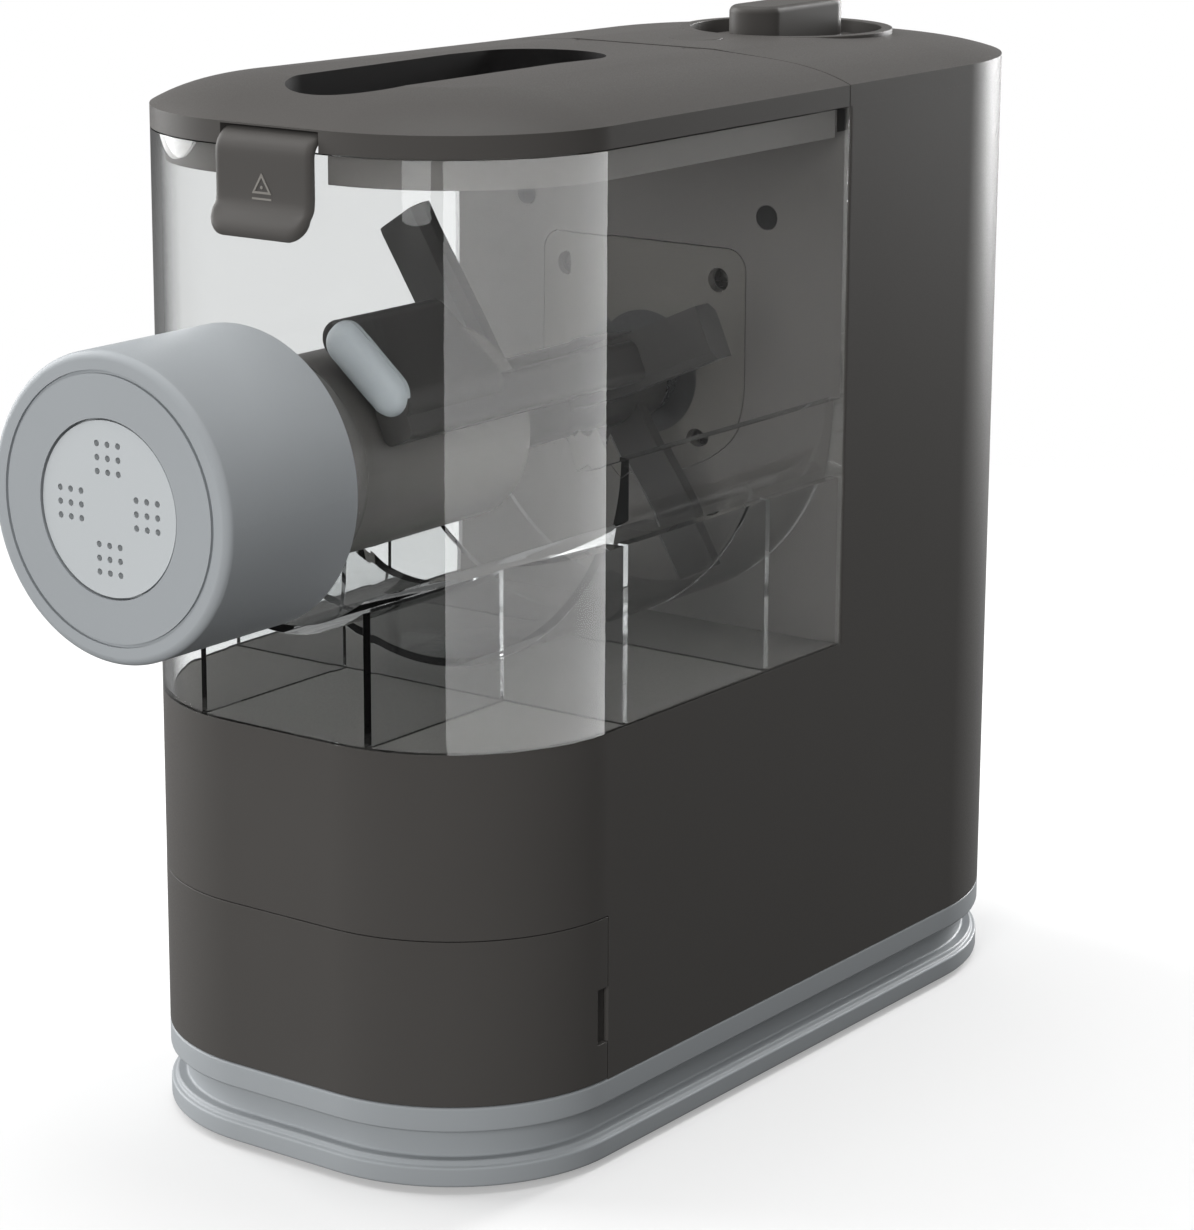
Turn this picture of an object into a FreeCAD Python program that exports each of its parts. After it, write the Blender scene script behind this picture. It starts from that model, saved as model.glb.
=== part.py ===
import FreeCAD, Part
import math
import os
import Sketcher
from FreeCAD import Placement, Rotation, Vector

# Counter-top pasta maker: an upright motor column on a grooved plinth, with a clear mixing
# chamber hung in front of it and an extrusion head that reaches out of the chamber's front.
# Millimetres. X runs to the right, Y from front to back, Z up. The origin lies on the table,
# under the middle of the whole machine with its extrusion cap on.

SIZES = {
    # Body plan
    "body_width": 135.0,
    "body_length": 284.0,
    "front_flat": 17.5,
    "rear_flat": 5.5,
    "shell_wall": 3.0,
    "edge_round": 1.2,
    "seam_gap": 0.5,
    "fit_gap": 0.3,
    "run_gap": 0.08,
    "tangent_slack": 0.2,
    "cut_past": 1.0,
    # Plinth
    "foot_stand": 2.0,
    "foot_radius": 9.0,
    "foot_inset_x": 22.0,
    "foot_inset_y": 34.0,
    "foot_taper": 0.6,
    "post_radius": 5.0,
    "fixing_radius": 1.5,
    "fixing_length": 10.0,
    "vent_width": 3.0,
    "vent_pitch": 10.0,
    "vent_length": 60.0,
    "ring_height": 6.8,
    "ring_step": 1.4,
    "groove_height": 8.2,
    "groove_depth": 4.5,
    "band_height": 6.7,
    "plinth_wall": 3.0,
    "cover_plate": 2.0,
    # Housing
    "block_height": 93.8,
    "chamber_depth": 158.9,
    "wall_thickness": 3.0,
    "sensor_radius": 3.4,
    "sensor_depth": 1.5,
    "sensor_x": 40.2,
    "sensor_drop": 32.4,
    # Storage drawer
    "drawer_height": 44.9,
    "drawer_wrap": 50.6,
    "drawer_wall": 2.2,
    "tray_length": 130.0,
    "tray_width": 92.0,
    "tray_height": 34.0,
    "grip_depth": 4.4,
    "grip_height": 15.0,
    "grip_base": 10.5,
    "grip_inset": 1.4,
    "tray_flat": 2.0,
    "bay_slack": 8.0,
    "spare_slit": 1.2,
    # Clear chamber
    "head_room": 79.7,
    "clear_wall": 2.5,
    "trough_radius": 61.5,
    "trough_wall": 2.2,
    "trough_stand": 5.4,
    "hopper_depth": 60.0,
    "hopper_radius": 41.0,
    "hopper_rise": 16.0,
    "hopper_degrees": 50.0,
    "rib_wall": 2.0,
    "rib_place": 27.0,
    "second_web": 124.0,
    "under_drop": 22.0,
    "neck_wall": 3.4,
    # Lid and top
    "rim_height": 5.7,
    "crown_low": 2.7,
    "crown_mid": 5.3,
    "crown_rise": 7.1,
    "crown_fall_degrees": 1.2,
    "crown_step_low": 7.5,
    "crown_step_mid": 22.0,
    "crown_step_top": 44.0,
    "lid_wall": 2.4,
    "skirt_drop": 8.0,
    "skirt_wall": 2.8,
    "skirt_swing": 1.4,
    "hinge_round": 2.0,
    "hinge_pin": 0.9,
    "hinge_place": 18.0,
    "hinge_arm": 5.0,
    "hinge_bar_depth": 4.0,
    "hinge_bar_height": 6.0,
    "slot_width": 36.0,
    "slot_length": 112.0,
    "slot_start": 16.0,
    "slot_throat": 9.0,
    # Lid catch
    "catch_width": 31.0,
    "catch_drop": 22.5,
    "catch_thickness": 2.6,
    "catch_lip": 6.5,
    "catch_flare": 4.0,
    "catch_pin": 1.0,
    "catch_pin_end": 3.0,
    "catch_pivot_in": 2.8,
    "catch_pivot_down": 3.2,
    "catch_brow": 0.6,
    "catch_curl_out": 1.56,
    "catch_curl_down": 2.08,
    "catch_curl_in": 1.04,
    "catch_room": 5.6,
    "catch_cover": 0.5,
    # Extrusion head
    "cap_radius": 38.2,
    "cap_length": 46.9,
    "cap_reach": 60.3,
    "cap_wall": 3.0,
    "sleeve_wall": 2.0,
    "cap_edge": 2.0,
    "cap_rib_front": 18.0,
    "face_groove_radius": 33.2,
    "face_groove_width": 0.9,
    "disc_radius": 22.0,
    "disc_flange": 28.0,
    "disc_thickness": 7.0,
    "disc_face_drop": 0.8,
    "hole_radius": 0.8,
    "hole_pitch": 3.4,
    "hole_offset": 12.3,
    "tube_radius": 26.0,
    "tube_wall": 2.6,
    "tube_inside": 72.0,
    "tube_flange_thickness": 3.0,
    "mouth_start": 30.0,
    "mouth_length": 34.0,
    "mouth_edge": 4.0,
    # Mixing paddle and screw
    "hub_radius": 12.5,
    "hub_front": 74.0,
    "hub_rear": 152.0,
    "arm_reach": 59.0,
    "arm_c_place": 92.0,
    "arm_a_place": 113.5,
    "arm_b_place": 141.6,
    "arm_c_angle": 123.0,
    "arm_a_angle": 24.0,
    "arm_b_angle": -58.5,
    "arm_width": 15.0,
    "arm_thickness": 6.0,
    "long_arm_thickness": 8.4,
    "arm_bevel": 2.4,
    "bar_front": 11.5,
    "bar_inner": 27.4,
    "bar_depth": 9.4,
    "bar_height": 11.0,
    "blade_angle": 50.0,
    "blade_span": 32.0,
    "blade_height": 10.0,
    "blade_length": 38.0,
    "tip_length": 3.0,
    "screw_core": 9.0,
    "screw_pitch": 24.0,
    "flight_width": 4.5,
    "flight_slope": 0.9,
    "flight_gap": 0.3,
    "flight_root": 0.5,
    "screw_start": 2.0,
    # Drive
    "shaft_radius": 8.0,
    "nose_flats": 12.0,
    "nose_length": 20.0,
    "wall_bore": 17.5,
    "plate_half": 33.5,
    "plate_top": 37.4,
    "plate_corner": 6.0,
    "plate_lip": 4.0,
    "plate_back": 2.5,
    "plate_screw_x": 24.5,
    "plate_screw_top": 28.5,
    "plate_screw_low_x": 17.6,
    "plate_screw_low": 17.8,
    "head_recess": 1.2,
    "collar_radius": 11.0,
    "collar_front": 4.0,
    "screw_head": 3.4,
    "gear_module": 1.5,
    "output_teeth": 64.0,
    "idler_small_teeth": 12.0,
    "idler_module": 1.25,
    "idler_large_teeth": 48.0,
    "motor_teeth": 10.0,
    "gear_backlash": 0.25,
    "output_gear_width": 14.0,
    "idler_gear_width": 10.0,
    "gear_case_gap": 4.0,
    "gear_case_depth": 36.0,
    "gear_case_wall": 3.0,
    "idler_pin": 4.0,
    "bearing_radius": 14.0,
    "gear_side_gap": 1.5,
    "motor_boss": 10.0,
    "motor_radius": 31.0,
    "motor_shaft": 3.5,
    "fan_radius": 26.0,
    "fan_width": 9.0,
    "fan_gap": 1.6,
    "fan_clear": 8.0,
    "fan_hub": 6.0,
    "fan_disc": 1.6,
    "motor_flat": 27.0,
    "board_half": 40.0,
    "board_drop": 46.6,
    "board_height": 95.0,
    "board_stand": 4.0,
    "board_thickness": 1.6,
    "board_part": 10.0,
    # Controls
    "dial_inset": 54.0,
    "dial_radius": 31.0,
    "dial_rim": 1.6,
    "dial_depth": 3.0,
    "knob_length": 46.0,
    "knob_width": 16.0,
    "knob_height": 12.2,
    "knob_shaft": 4.0,
    "switch_size": 26.0,
    "switch_height": 14.0,
    "button_inset": 25.1,
    "button_radius": 7.6,
    "button_stroke": 2.5,
    "spring_wire": 0.6,
    "spring_length": 9.0,
    "button_proud": 0.2,
    "stem_radius": 3.0,
    "cup_depth": 14.0,
    "cup_floor": 2.0,
    "dial_sink": 1.5,
    "dial_proud": 0.6,
    "knob_round": 2.0,
    "knob_skirt": 1.5,
    "dot_radius": 1.2,
    "dot_depth": 0.4,
    "switch_side": 8.0,
    "switch_tall": 9.0,
    # Inlet
    "inlet_radius": 8.0,
    "inlet_height": 42.0,
    "cord_bore": 3.6,
    "gland_flange": 2.0,
}

FAULTY = ("Invalid", "Error")


class Length:
    """A size that carries both its number and its formula over the cells of the sheet."""

    def __init__(self, number, formula):
        self.number = number
        self.formula = formula

    def __add__(self, other):
        other = as_length(other)
        return Length(self.number + other.number, f"({self.formula} + {other.formula})")

    def __radd__(self, other):
        return as_length(other) + self

    def __sub__(self, other):
        other = as_length(other)
        return Length(self.number - other.number, f"({self.formula} - {other.formula})")

    def __rsub__(self, other):
        return as_length(other) - self

    def __mul__(self, other):
        other = as_length(other)
        return Length(self.number * other.number, f"({self.formula} * {other.formula})")

    def __rmul__(self, other):
        return as_length(other) * self

    def __truediv__(self, other):
        other = as_length(other)
        return Length(self.number / other.number, f"({self.formula} / {other.formula})")

    def __neg__(self):
        return Length(-self.number, f"(0 - {self.formula})")


def as_length(thing):
    """Gives a Length for a plain number, and a Length as it is."""
    if isinstance(thing, Length):
        return thing
    return Length(float(thing), repr(float(thing)))


doc = FreeCAD.newDocument("pasta_maker")
sheet = doc.addObject("Spreadsheet::Sheet", "sizes")
for row, (alias, number) in enumerate(SIZES.items(), start=1):
    sheet.set(f"A{row}", alias)
    sheet.set(f"B{row}", str(number))
    sheet.setAlias(f"B{row}", alias)
doc.recompute()


def size(alias):
    """Reads one cell of the sheet."""
    return Length(float(sheet.get(alias)), f"sizes.{alias}")


def bind(thing, prop, length):
    """Sets a property to a length's number and binds it to the length's formula."""
    length = as_length(length)
    thing.setExpression(prop, length.formula)


def at(x=0, y=0, z=0, rotation=None):
    """Gathers a place from three lengths and a rotation."""
    return (as_length(x), as_length(y), as_length(z), rotation or Rotation())


def put(thing, place):
    """Gives an object its placement, bound to the sheet."""
    x, y, z, rotation = place
    thing.Placement = Placement(Vector(x.number, y.number, z.number), rotation)
    bind(thing, "Placement.Base.x", x)
    bind(thing, "Placement.Base.y", y)
    bind(thing, "Placement.Base.z", z)
    return thing


# Rotations that lay a drawing plane or a cylinder along another axis
FACING_FRONT = Rotation(Vector(1, 0, 0), 90)
LYING_ACROSS = Rotation(Vector(0, 1, 0), 90)
FACING_RIGHT = Rotation(Vector(0, 0, 1), 90) * Rotation(Vector(1, 0, 0), 90)
TURNED_TO_BACK = Rotation(Vector(1, 0, 0), -90)

nodes = []


def node(thing, label):
    """Names an object as one of the finished pieces."""
    thing.Label = label
    nodes.append(thing)
    return thing


# Drawing helpers


def fix(sketch, kind, items, length):
    """Adds a driving dimension to a sketch, bound to the sheet."""
    length = as_length(length)
    index = sketch.addConstraint(Sketcher.Constraint(kind, *items, length.number))
    sketch.setExpression(f"Constraints[{index}]", length.formula)


def line(sketch, start, end):
    """Adds a straight edge between two pairs of lengths."""
    a = Vector(as_length(start[0]).number, as_length(start[1]).number, 0)
    b = Vector(as_length(end[0]).number, as_length(end[1]).number, 0)
    return sketch.addGeometry(Part.LineSegment(a, b), False)


def arc(sketch, centre, radius, start, end):
    """Adds an arc by its centre, radius and two angles in degrees."""
    middle = Vector(as_length(centre[0]).number, as_length(centre[1]).number, 0)
    circle = Part.Circle(middle, Vector(0, 0, 1), as_length(radius).number)
    return sketch.addGeometry(Part.ArcOfCircle(circle, math.radians(start), math.radians(end)), False)


def draw_polygon(sketch, points):
    """Draws a closed outline of straight edges, each corner held by two dimensions."""
    count = len(points)
    edges = [line(sketch, points[i], points[(i + 1) % count]) for i in range(count)]
    for i in range(count):
        sketch.addConstraint(Sketcher.Constraint("Coincident", edges[i], 2, edges[(i + 1) % count], 1))
    for edge, (x, y) in zip(edges, points):
        fix(sketch, "DistanceX", (-1, 1, edge, 1), x)
        fix(sketch, "DistanceY", (-1, 1, edge, 1), y)
    return sketch


def draw_rectangle(sketch, x_low, x_high, y_low, y_high):
    """Draws a rectangle by its four sides."""
    corners = [(x_low, y_low), (x_high, y_low), (x_high, y_high), (x_low, y_high)]
    return draw_polygon(sketch, corners)


def draw_circle(sketch, x, y, radius):
    """Draws a circle by its centre and radius."""
    x, y, radius = as_length(x), as_length(y), as_length(radius)
    circle = Part.Circle(Vector(x.number, y.number, 0), Vector(0, 0, 1), radius.number)
    edge = sketch.addGeometry(circle, False)
    fix(sketch, "Radius", (edge,), radius)
    fix(sketch, "DistanceX", (-1, 1, edge, 3), x)
    fix(sketch, "DistanceY", (-1, 1, edge, 3), y)
    return sketch


def draw_plan(sketch, half, y_low, y_high, low_round, high_round, x_middle=0):
    """Draws a rectangle whose low pair and high pair of corners have their own rounds."""
    half, y_low, y_high = as_length(half), as_length(y_low), as_length(y_high)
    low_round, high_round = as_length(low_round), as_length(high_round)
    x_middle = as_length(x_middle)
    left, right = x_middle - half, x_middle + half
    bottom = line(sketch, (left + low_round, y_low), (right - low_round, y_low))
    low_right = arc(sketch, (right - low_round, y_low + low_round), low_round, -90, 0)
    side_right = line(sketch, (right, y_low + low_round), (right, y_high - high_round))
    high_right = arc(sketch, (right - high_round, y_high - high_round), high_round, 0, 90)
    top = line(sketch, (right - high_round, y_high), (left + high_round, y_high))
    high_left = arc(sketch, (left + high_round, y_high - high_round), high_round, 90, 180)
    side_left = line(sketch, (left, y_high - high_round), (left, y_low + low_round))
    low_left = arc(sketch, (left + low_round, y_low + low_round), low_round, 180, 270)
    loop = [bottom, low_right, side_right, high_right, top, high_left, side_left, low_left]
    for i, edge in enumerate(loop):
        sketch.addConstraint(Sketcher.Constraint("Tangent", edge, 2, loop[(i + 1) % len(loop)], 1))
    sketch.addConstraint(Sketcher.Constraint("Horizontal", bottom))
    sketch.addConstraint(Sketcher.Constraint("Horizontal", top))
    sketch.addConstraint(Sketcher.Constraint("Vertical", side_right))
    sketch.addConstraint(Sketcher.Constraint("Vertical", side_left))
    sketch.addConstraint(Sketcher.Constraint("Equal", low_right, low_left))
    sketch.addConstraint(Sketcher.Constraint("Equal", high_right, high_left))
    fix(sketch, "Radius", (low_right,), low_round)
    fix(sketch, "Radius", (high_right,), high_round)
    fix(sketch, "DistanceX", (-1, 1, side_right, 1), right)
    fix(sketch, "DistanceX", (-1, 1, side_left, 1), left)
    fix(sketch, "DistanceY", (-1, 1, bottom, 1), y_low)
    fix(sketch, "DistanceY", (-1, 1, top, 1), y_high)
    return sketch


# Solid helpers outside a body


def extrude(name, draw, place, height):
    """Draws a closed outline on a plane and gives it a height along the plane's normal."""
    sketch = put(doc.addObject("Sketcher::SketchObject", f"{name}_outline"), place)
    draw(sketch)
    solid = doc.addObject("Part::Extrusion", name)
    solid.Base = sketch
    solid.DirMode = "Normal"
    solid.Solid = True
    bind(solid, "LengthFwd", height)
    return solid


def cylinder(name, radius, height, place):
    """Makes a bound cylinder."""
    solid = put(doc.addObject("Part::Cylinder", name), place)
    bind(solid, "Radius", radius)
    bind(solid, "Height", height)
    return solid


def box(name, x_low, x_high, y_low, y_high, z_low, z_high):
    """Makes a bound box from its six faces."""
    x_low, y_low, z_low = as_length(x_low), as_length(y_low), as_length(z_low)
    solid = put(doc.addObject("Part::Box", name), at(x_low, y_low, z_low))
    bind(solid, "Length", x_high - x_low)
    bind(solid, "Width", y_high - y_low)
    bind(solid, "Height", z_high - z_low)
    return solid


def cut(name, base, tool):
    """Takes one solid out of another."""
    made = doc.addObject("Part::Cut", name)
    made.Base = base
    made.Tool = tool
    return made


def fuse(name, parts):
    """Joins solids of one piece."""
    made = doc.addObject("Part::MultiFuse", name)
    made.Shapes = parts
    made.Refine = True
    return made


def common(name, parts):
    """Keeps what solids share."""
    made = doc.addObject("Part::MultiCommon", name)
    made.Shapes = parts
    return made


def group(label, parts):
    """Gathers like pieces, such as a set of screws, as separate solids of one node."""
    made = doc.addObject("Part::Compound", label)
    made.Links = parts
    return node(made, label)


# Solid helpers inside a body


def new_body(label):
    """Starts the body of one piece."""
    return node(doc.addObject("PartDesign::Body", label), label)


def sketch_on(body, role, offset, draw):
    """Draws on one of a body's own origin planes, moved along that plane's normal."""
    sketch = body.newObject("Sketcher::SketchObject", f"{body.Name}_sketch")
    plane = [item for item in body.Origin.OriginFeatures if item.Role == role][0]
    sketch.AttachmentSupport = [(plane, "")]
    sketch.MapMode = "FlatFace"
    bind(sketch, "AttachmentOffset.Base.z", offset)
    draw(sketch)
    return sketch


def pad(body, role, offset, draw, length):
    """Adds an outline's thickness along the plane's normal."""
    feature = body.newObject("PartDesign::Pad", f"{body.Name}_pad")
    feature.Profile = sketch_on(body, role, offset, draw)
    bind(feature, "Length", length)
    return feature


def pocket(body, role, offset, draw, length, along_normal=False):
    """Cuts an outline's depth, against the plane's normal unless it is told otherwise."""
    feature = body.newObject("PartDesign::Pocket", f"{body.Name}_pocket")
    feature.Profile = sketch_on(body, role, offset, draw)
    feature.Reversed = along_normal
    bind(feature, "Length", length)
    return feature


def round_edges(body, feature, wanted, radius, kind="PartDesign::Fillet"):
    """Rounds or chamfers the edges of the last feature for which wanted is true."""
    doc.recompute()
    names = [f"Edge{i}" for i, edge in enumerate(feature.Shape.Edges, start=1) if wanted(edge)]
    finish = body.newObject(kind, f"{body.Name}_edge")
    finish.Base = (feature, names)
    bind(finish, "Size" if kind.endswith("Chamfer") else "Radius", radius)
    return finish


# Levels and places shared by the pieces

half_width = size("body_width") / 2
front_round = half_width - size("front_flat")
rear_round = half_width - size("rear_flat")
front = -(size("body_length") - size("cap_reach")) / 2
rear = (size("body_length") + size("cap_reach")) / 2
wall_face = front + size("chamber_depth")
plinth_base = size("foot_stand")
ring_top = plinth_base + size("ring_height")
band_base = ring_top + size("groove_height")
plinth_top = band_base + size("band_height")
drawer_top = plinth_top + size("drawer_height")
drawer_seam = front + size("drawer_wrap")
block_top = plinth_top + size("block_height")
axis_z = block_top + size("trough_stand") + size("trough_wall") + size("trough_radius")
lid_seat = axis_z + size("head_room")
chamber_tall = lid_seat - block_top
crease = lid_seat + size("rim_height")
crown_top = crease + size("crown_rise")
seam = size("seam_gap")
gap = size("fit_gap")
wall = size("shell_wall")
clear_wall = size("clear_wall")
past = size("cut_past")
column_back = rear - wall
dial_y = rear - size("dial_inset")
button_y = wall_face + size("button_inset")
lid_back = wall_face - seam


def plan_of(inset=0, y_low=front, y_high=rear, low=None, high=None):
    """Gives a drawing of the body's plan, drawn in by a wall."""
    inset = as_length(inset)
    low = front_round - inset if low is None else low
    high = rear_round - inset if high is None else high

    def draw(sketch):
        draw_plan(sketch, half_width - inset, y_low + inset, y_high - inset, low, high)

    return draw


def round_at(x, y, radius):
    """Gives a drawing of one circle."""
    return lambda sketch: draw_circle(sketch, x, y, radius)


def rectangle(x_low, x_high, y_low, y_high):
    """Gives a drawing of one rectangle."""
    return lambda sketch: draw_rectangle(sketch, x_low, x_high, y_low, y_high)


def plan(half, y_low, y_high, low, high, x_middle=0):
    """Gives a drawing of one rounded rectangle."""
    return lambda sketch: draw_plan(sketch, half, y_low, y_high, low, high, x_middle)


def polygon(points):
    """Gives a drawing of one straight-edged outline."""
    return lambda sketch: draw_polygon(sketch, points)


SMALL_ROUND = size("edge_round")


# Plinth: a broad ring on the table, a groove for winding the lead, and a band under the body


def make_plinth():
    body = new_body("base_plinth")
    groove = size("groove_depth")
    hollow = groove + size("plinth_wall")
    lower = ring_top - size("ring_step")
    pad(body, "XY_Plane", plinth_base, plan_of(), size("ring_height") - size("ring_step"))
    pad(body, "XY_Plane", lower, plan_of(size("ring_step")), size("ring_step"))
    pad(body, "XY_Plane", ring_top, plan_of(groove), size("groove_height"))
    pad(body, "XY_Plane", band_base, plan_of(), size("band_height"))
    depth = plinth_top - plinth_base - size("plinth_wall")
    pocket(body, "XY_Plane", plinth_base, plan_of(hollow), depth, along_normal=True)
    post_base = plinth_base + size("cover_plate")
    for x, y in foot_places():
        pad(body, "XY_Plane", post_base, round_at(x, y, size("post_radius")), depth - size("cover_plate"))
        pocket(body, "XY_Plane", post_base, round_at(x, y, size("fixing_radius")), size("fixing_length"), True)
    return body


def foot_places():
    """Gives the four points that carry the feet, their posts and their screws."""
    x = half_width - size("foot_inset_x")
    depths = (front + size("foot_inset_y"), rear - size("foot_inset_y"))
    return [(x * side, y) for y in depths for side in (-1, 1)]


def make_bottom_cover():
    body = new_body("bottom_cover")
    inset = size("groove_depth") + size("plinth_wall") + gap
    pad(body, "XY_Plane", plinth_base, plan_of(inset), size("cover_plate"))
    for x, y in foot_places():
        pocket(body, "XY_Plane", plinth_base, round_at(x, y, size("fixing_radius")), size("cover_plate"), True)
    slit = size("vent_width") / 2
    for row in range(-3, 4):
        y = row * size("vent_pitch") + size("vent_pitch")
        draw = rectangle(-size("vent_length") / 2, size("vent_length") / 2, y - slit, y + slit)
        pocket(body, "XY_Plane", plinth_base, draw, size("cover_plate"), True)


def make_feet():
    feet = []
    screws = []
    for x, y in foot_places():
        foot = put(doc.addObject("Part::Cone", "foot_block"), at(x, y, 0))
        bind(foot, "Radius1", size("foot_radius") - size("foot_taper"))
        bind(foot, "Radius2", size("foot_radius"))
        bind(foot, "Height", size("foot_stand"))
        feet.append(foot)
        screws.append(cylinder("foot_screw", size("fixing_radius") - size("run_gap"),
                               size("cover_plate") + size("fixing_length"), at(x, y, plinth_base)))
    group("rubber_feet", feet)
    group("base_screws", screws)


# Housing: the front block and the motor column in one moulding


def plate_outline(grow=0):
    """Gives the drive plate's outline: round below about the axis, square with small rounds above."""
    half = size("plate_half") + grow
    low = axis_z - half
    high = axis_z + size("plate_top") + grow
    return plan(half, low, high, half - size("tangent_slack"), size("plate_corner") + grow)


def make_housing():
    body = new_body("main_housing")
    pad(body, "XY_Plane", plinth_top, plan_of(), size("block_height"))
    column = plan(half_width, wall_face, rear, SMALL_ROUND, rear_round)
    pad(body, "XY_Plane", block_top, column, chamber_tall)
    pocket(body, "XY_Plane", plinth_top, plan_of(wall), size("block_height") - wall, True)
    inner_front = wall_face + size("wall_thickness")
    hollow = plan(half_width - wall, inner_front, column_back, SMALL_ROUND, rear_round - wall)
    pocket(body, "XY_Plane", lid_seat, hollow, chamber_tall + wall)
    shelf = plan(half_width - wall, front + wall, bay_back, front_round - wall, SMALL_ROUND)
    pad(body, "XY_Plane", drawer_top, shelf, size("drawer_wall"))
    mouth = rectangle(-half_width - past, half_width + past, front - past, drawer_seam)
    pocket(body, "XY_Plane", drawer_top, mouth, size("drawer_height"))
    pocket(body, "XZ_Plane", -wall_face, plate_outline(gap), size("wall_thickness"))
    for x, z in sensor_places():
        hole = round_at(x, z, size("sensor_radius") + size("run_gap"))
        pocket(body, "XZ_Plane", -wall_face, hole, size("sensor_depth"))
    gland = round_at(0, size("inlet_height"), size("inlet_radius") + size("run_gap"))
    pocket(body, "XZ_Plane", -rear, gland, wall * 2, True)
    return body


def sensor_places():
    """Gives the two round spots high on the chamber's rear wall."""
    x = size("sensor_x")
    z = lid_seat - size("sensor_drop")
    return [(x, z), (-x, z)]


bay_back = front + size("tray_length") + size("bay_slack")


def make_rear_details():
    spots = []
    for x, z in sensor_places():
        place = at(x, wall_face, z, TURNED_TO_BACK)
        spots.append(cylinder("sensor_spot", size("sensor_radius"), size("sensor_depth"), place))
    group("wall_sensors", spots)
    gland = new_body("cord_gland")
    shell = size("inlet_radius")
    pad(gland, "XZ_Plane", 0, round_at(0, 0, shell), wall * 2)
    pad(gland, "XZ_Plane", wall * 2, round_at(0, 0, shell + size("gland_flange")), wall / 2)
    pocket(gland, "XZ_Plane", 0, round_at(0, 0, size("cord_bore")), wall * 3, True)
    put(gland, at(0, rear - wall / 2, size("inlet_height")))
    return gland


# Drive plate in the chamber's rear wall


def make_wall_plate():
    body = new_body("drive_plate")
    thick = size("wall_thickness")
    pad(body, "XZ_Plane", -(wall_face + thick), plate_outline(), thick)
    back = wall_face + thick + size("plate_back")
    pad(body, "XZ_Plane", -back, plate_outline(size("plate_lip")), size("plate_back"))
    pocket(body, "XZ_Plane", -wall_face, round_at(0, axis_z, size("wall_bore")), thick + size("plate_back"))
    for x, z in plate_screw_places():
        pocket(body, "XZ_Plane", -wall_face, round_at(x, z, size("screw_head")), size("head_recess") * 2)
    return body


def plate_screw_places():
    """Gives the four screws round the drive bore."""
    top = axis_z + size("plate_screw_top")
    low = axis_z - size("plate_screw_low")
    upper = [(size("plate_screw_x") * side, top) for side in (-1, 1)]
    return upper + [(size("plate_screw_low_x") * side, low) for side in (-1, 1)]


def make_plate_screws():
    heads = []
    for x, z in plate_screw_places():
        place = at(x, wall_face + size("head_recess"), z, TURNED_TO_BACK)
        head = cylinder("plate_screw_head", size("screw_head") - size("run_gap"), size("head_recess"), place)
        drive = cylinder("plate_screw_drive", size("screw_head") / 3, size("head_recess") / 2, place)
        heads.append(cut("plate_screw", head, drive))
    group("drive_plate_screws", heads)


# Storage drawer: a front that wraps the body's corners, and a tray behind it


def make_drawer():
    body = new_body("storage_drawer")
    skin = size("drawer_wall")
    low = plinth_top + gap
    tall = size("drawer_height") - gap * 2
    outer = plan(half_width, front, drawer_seam - gap, front_round, size("tangent_slack"))
    pad(body, "XY_Plane", low, outer, tall)
    inner = plan(half_width - skin, front + skin, drawer_seam, front_round - skin, size("tangent_slack"))
    pocket(body, "XY_Plane", low + tall, inner, tall)
    tray_half = size("tray_width") / 2
    tray_back = front + size("tray_length")
    tray = size("tray_height")
    nose = front + skin / 2
    nose_round = tray_half - size("tray_flat")
    pad(body, "XY_Plane", low, plan(tray_half, nose, tray_back, nose_round, size("edge_round")), tray)
    well = plan(tray_half - skin, nose + skin, tray_back - skin, nose_round - skin, size("edge_round"))
    pocket(body, "XY_Plane", low + tray, well, tray - skin)
    grip_low = plinth_top + size("grip_base")
    grip = rectangle(drawer_seam - size("grip_depth"), drawer_seam, grip_low, grip_low + size("grip_height"))
    pocket(body, "YZ_Plane", half_width, grip, size("grip_inset"))
    pocket(body, "YZ_Plane", -half_width, grip, size("grip_inset"), True)
    return body


def make_drawer_bay():
    body = new_body("drawer_bay")
    skin = size("drawer_wall")
    half = size("tray_width") / 2 + gap + skin
    tall = size("drawer_height")
    pad(body, "XY_Plane", plinth_top, rectangle(-half, half, drawer_seam + gap, bay_back), tall)
    inner = rectangle(-half + skin, half - skin, drawer_seam, bay_back - skin)
    pocket(body, "XY_Plane", drawer_top, inner, tall)
    face = half_width - wall
    for side in (-1, 1):
        x_low = half * side if side > 0 else -face
        x_high = face if side > 0 else half * side
        flange = rectangle(x_low, x_high, drawer_seam + gap, drawer_seam + gap + skin)
        pad(body, "XY_Plane", plinth_top, flange, tall)
    return body


def make_spare_discs():
    skin = size("drawer_wall")
    y = front + size("tray_length") - skin - size("disc_flange") - gap * 4
    floor = plinth_top + gap + skin
    half = size("disc_thickness") / 2
    for index, name in enumerate(("spare_disc_wide", "spare_disc_narrow")):
        body = new_body(name)
        pad(body, "XY_Plane", 0, round_at(0, 0, size("disc_flange")), half)
        pad(body, "XY_Plane", half, round_at(0, 0, size("disc_radius")), half)
        slit = size("spare_slit") * (1 + index)
        reach = size("disc_radius") - skin * 2
        for row in range(-2, 3):
            middle = row * size("spare_slit") * 4
            draw = rectangle(-reach / 2, reach / 2, middle - slit / 2, middle + slit / 2)
            pocket(body, "XY_Plane", 0, draw, size("disc_thickness"), True)
        put(body, at(0, y, floor + index * size("disc_thickness")))


# Top: one crowned form, parted between the lid and the column's cover


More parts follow.
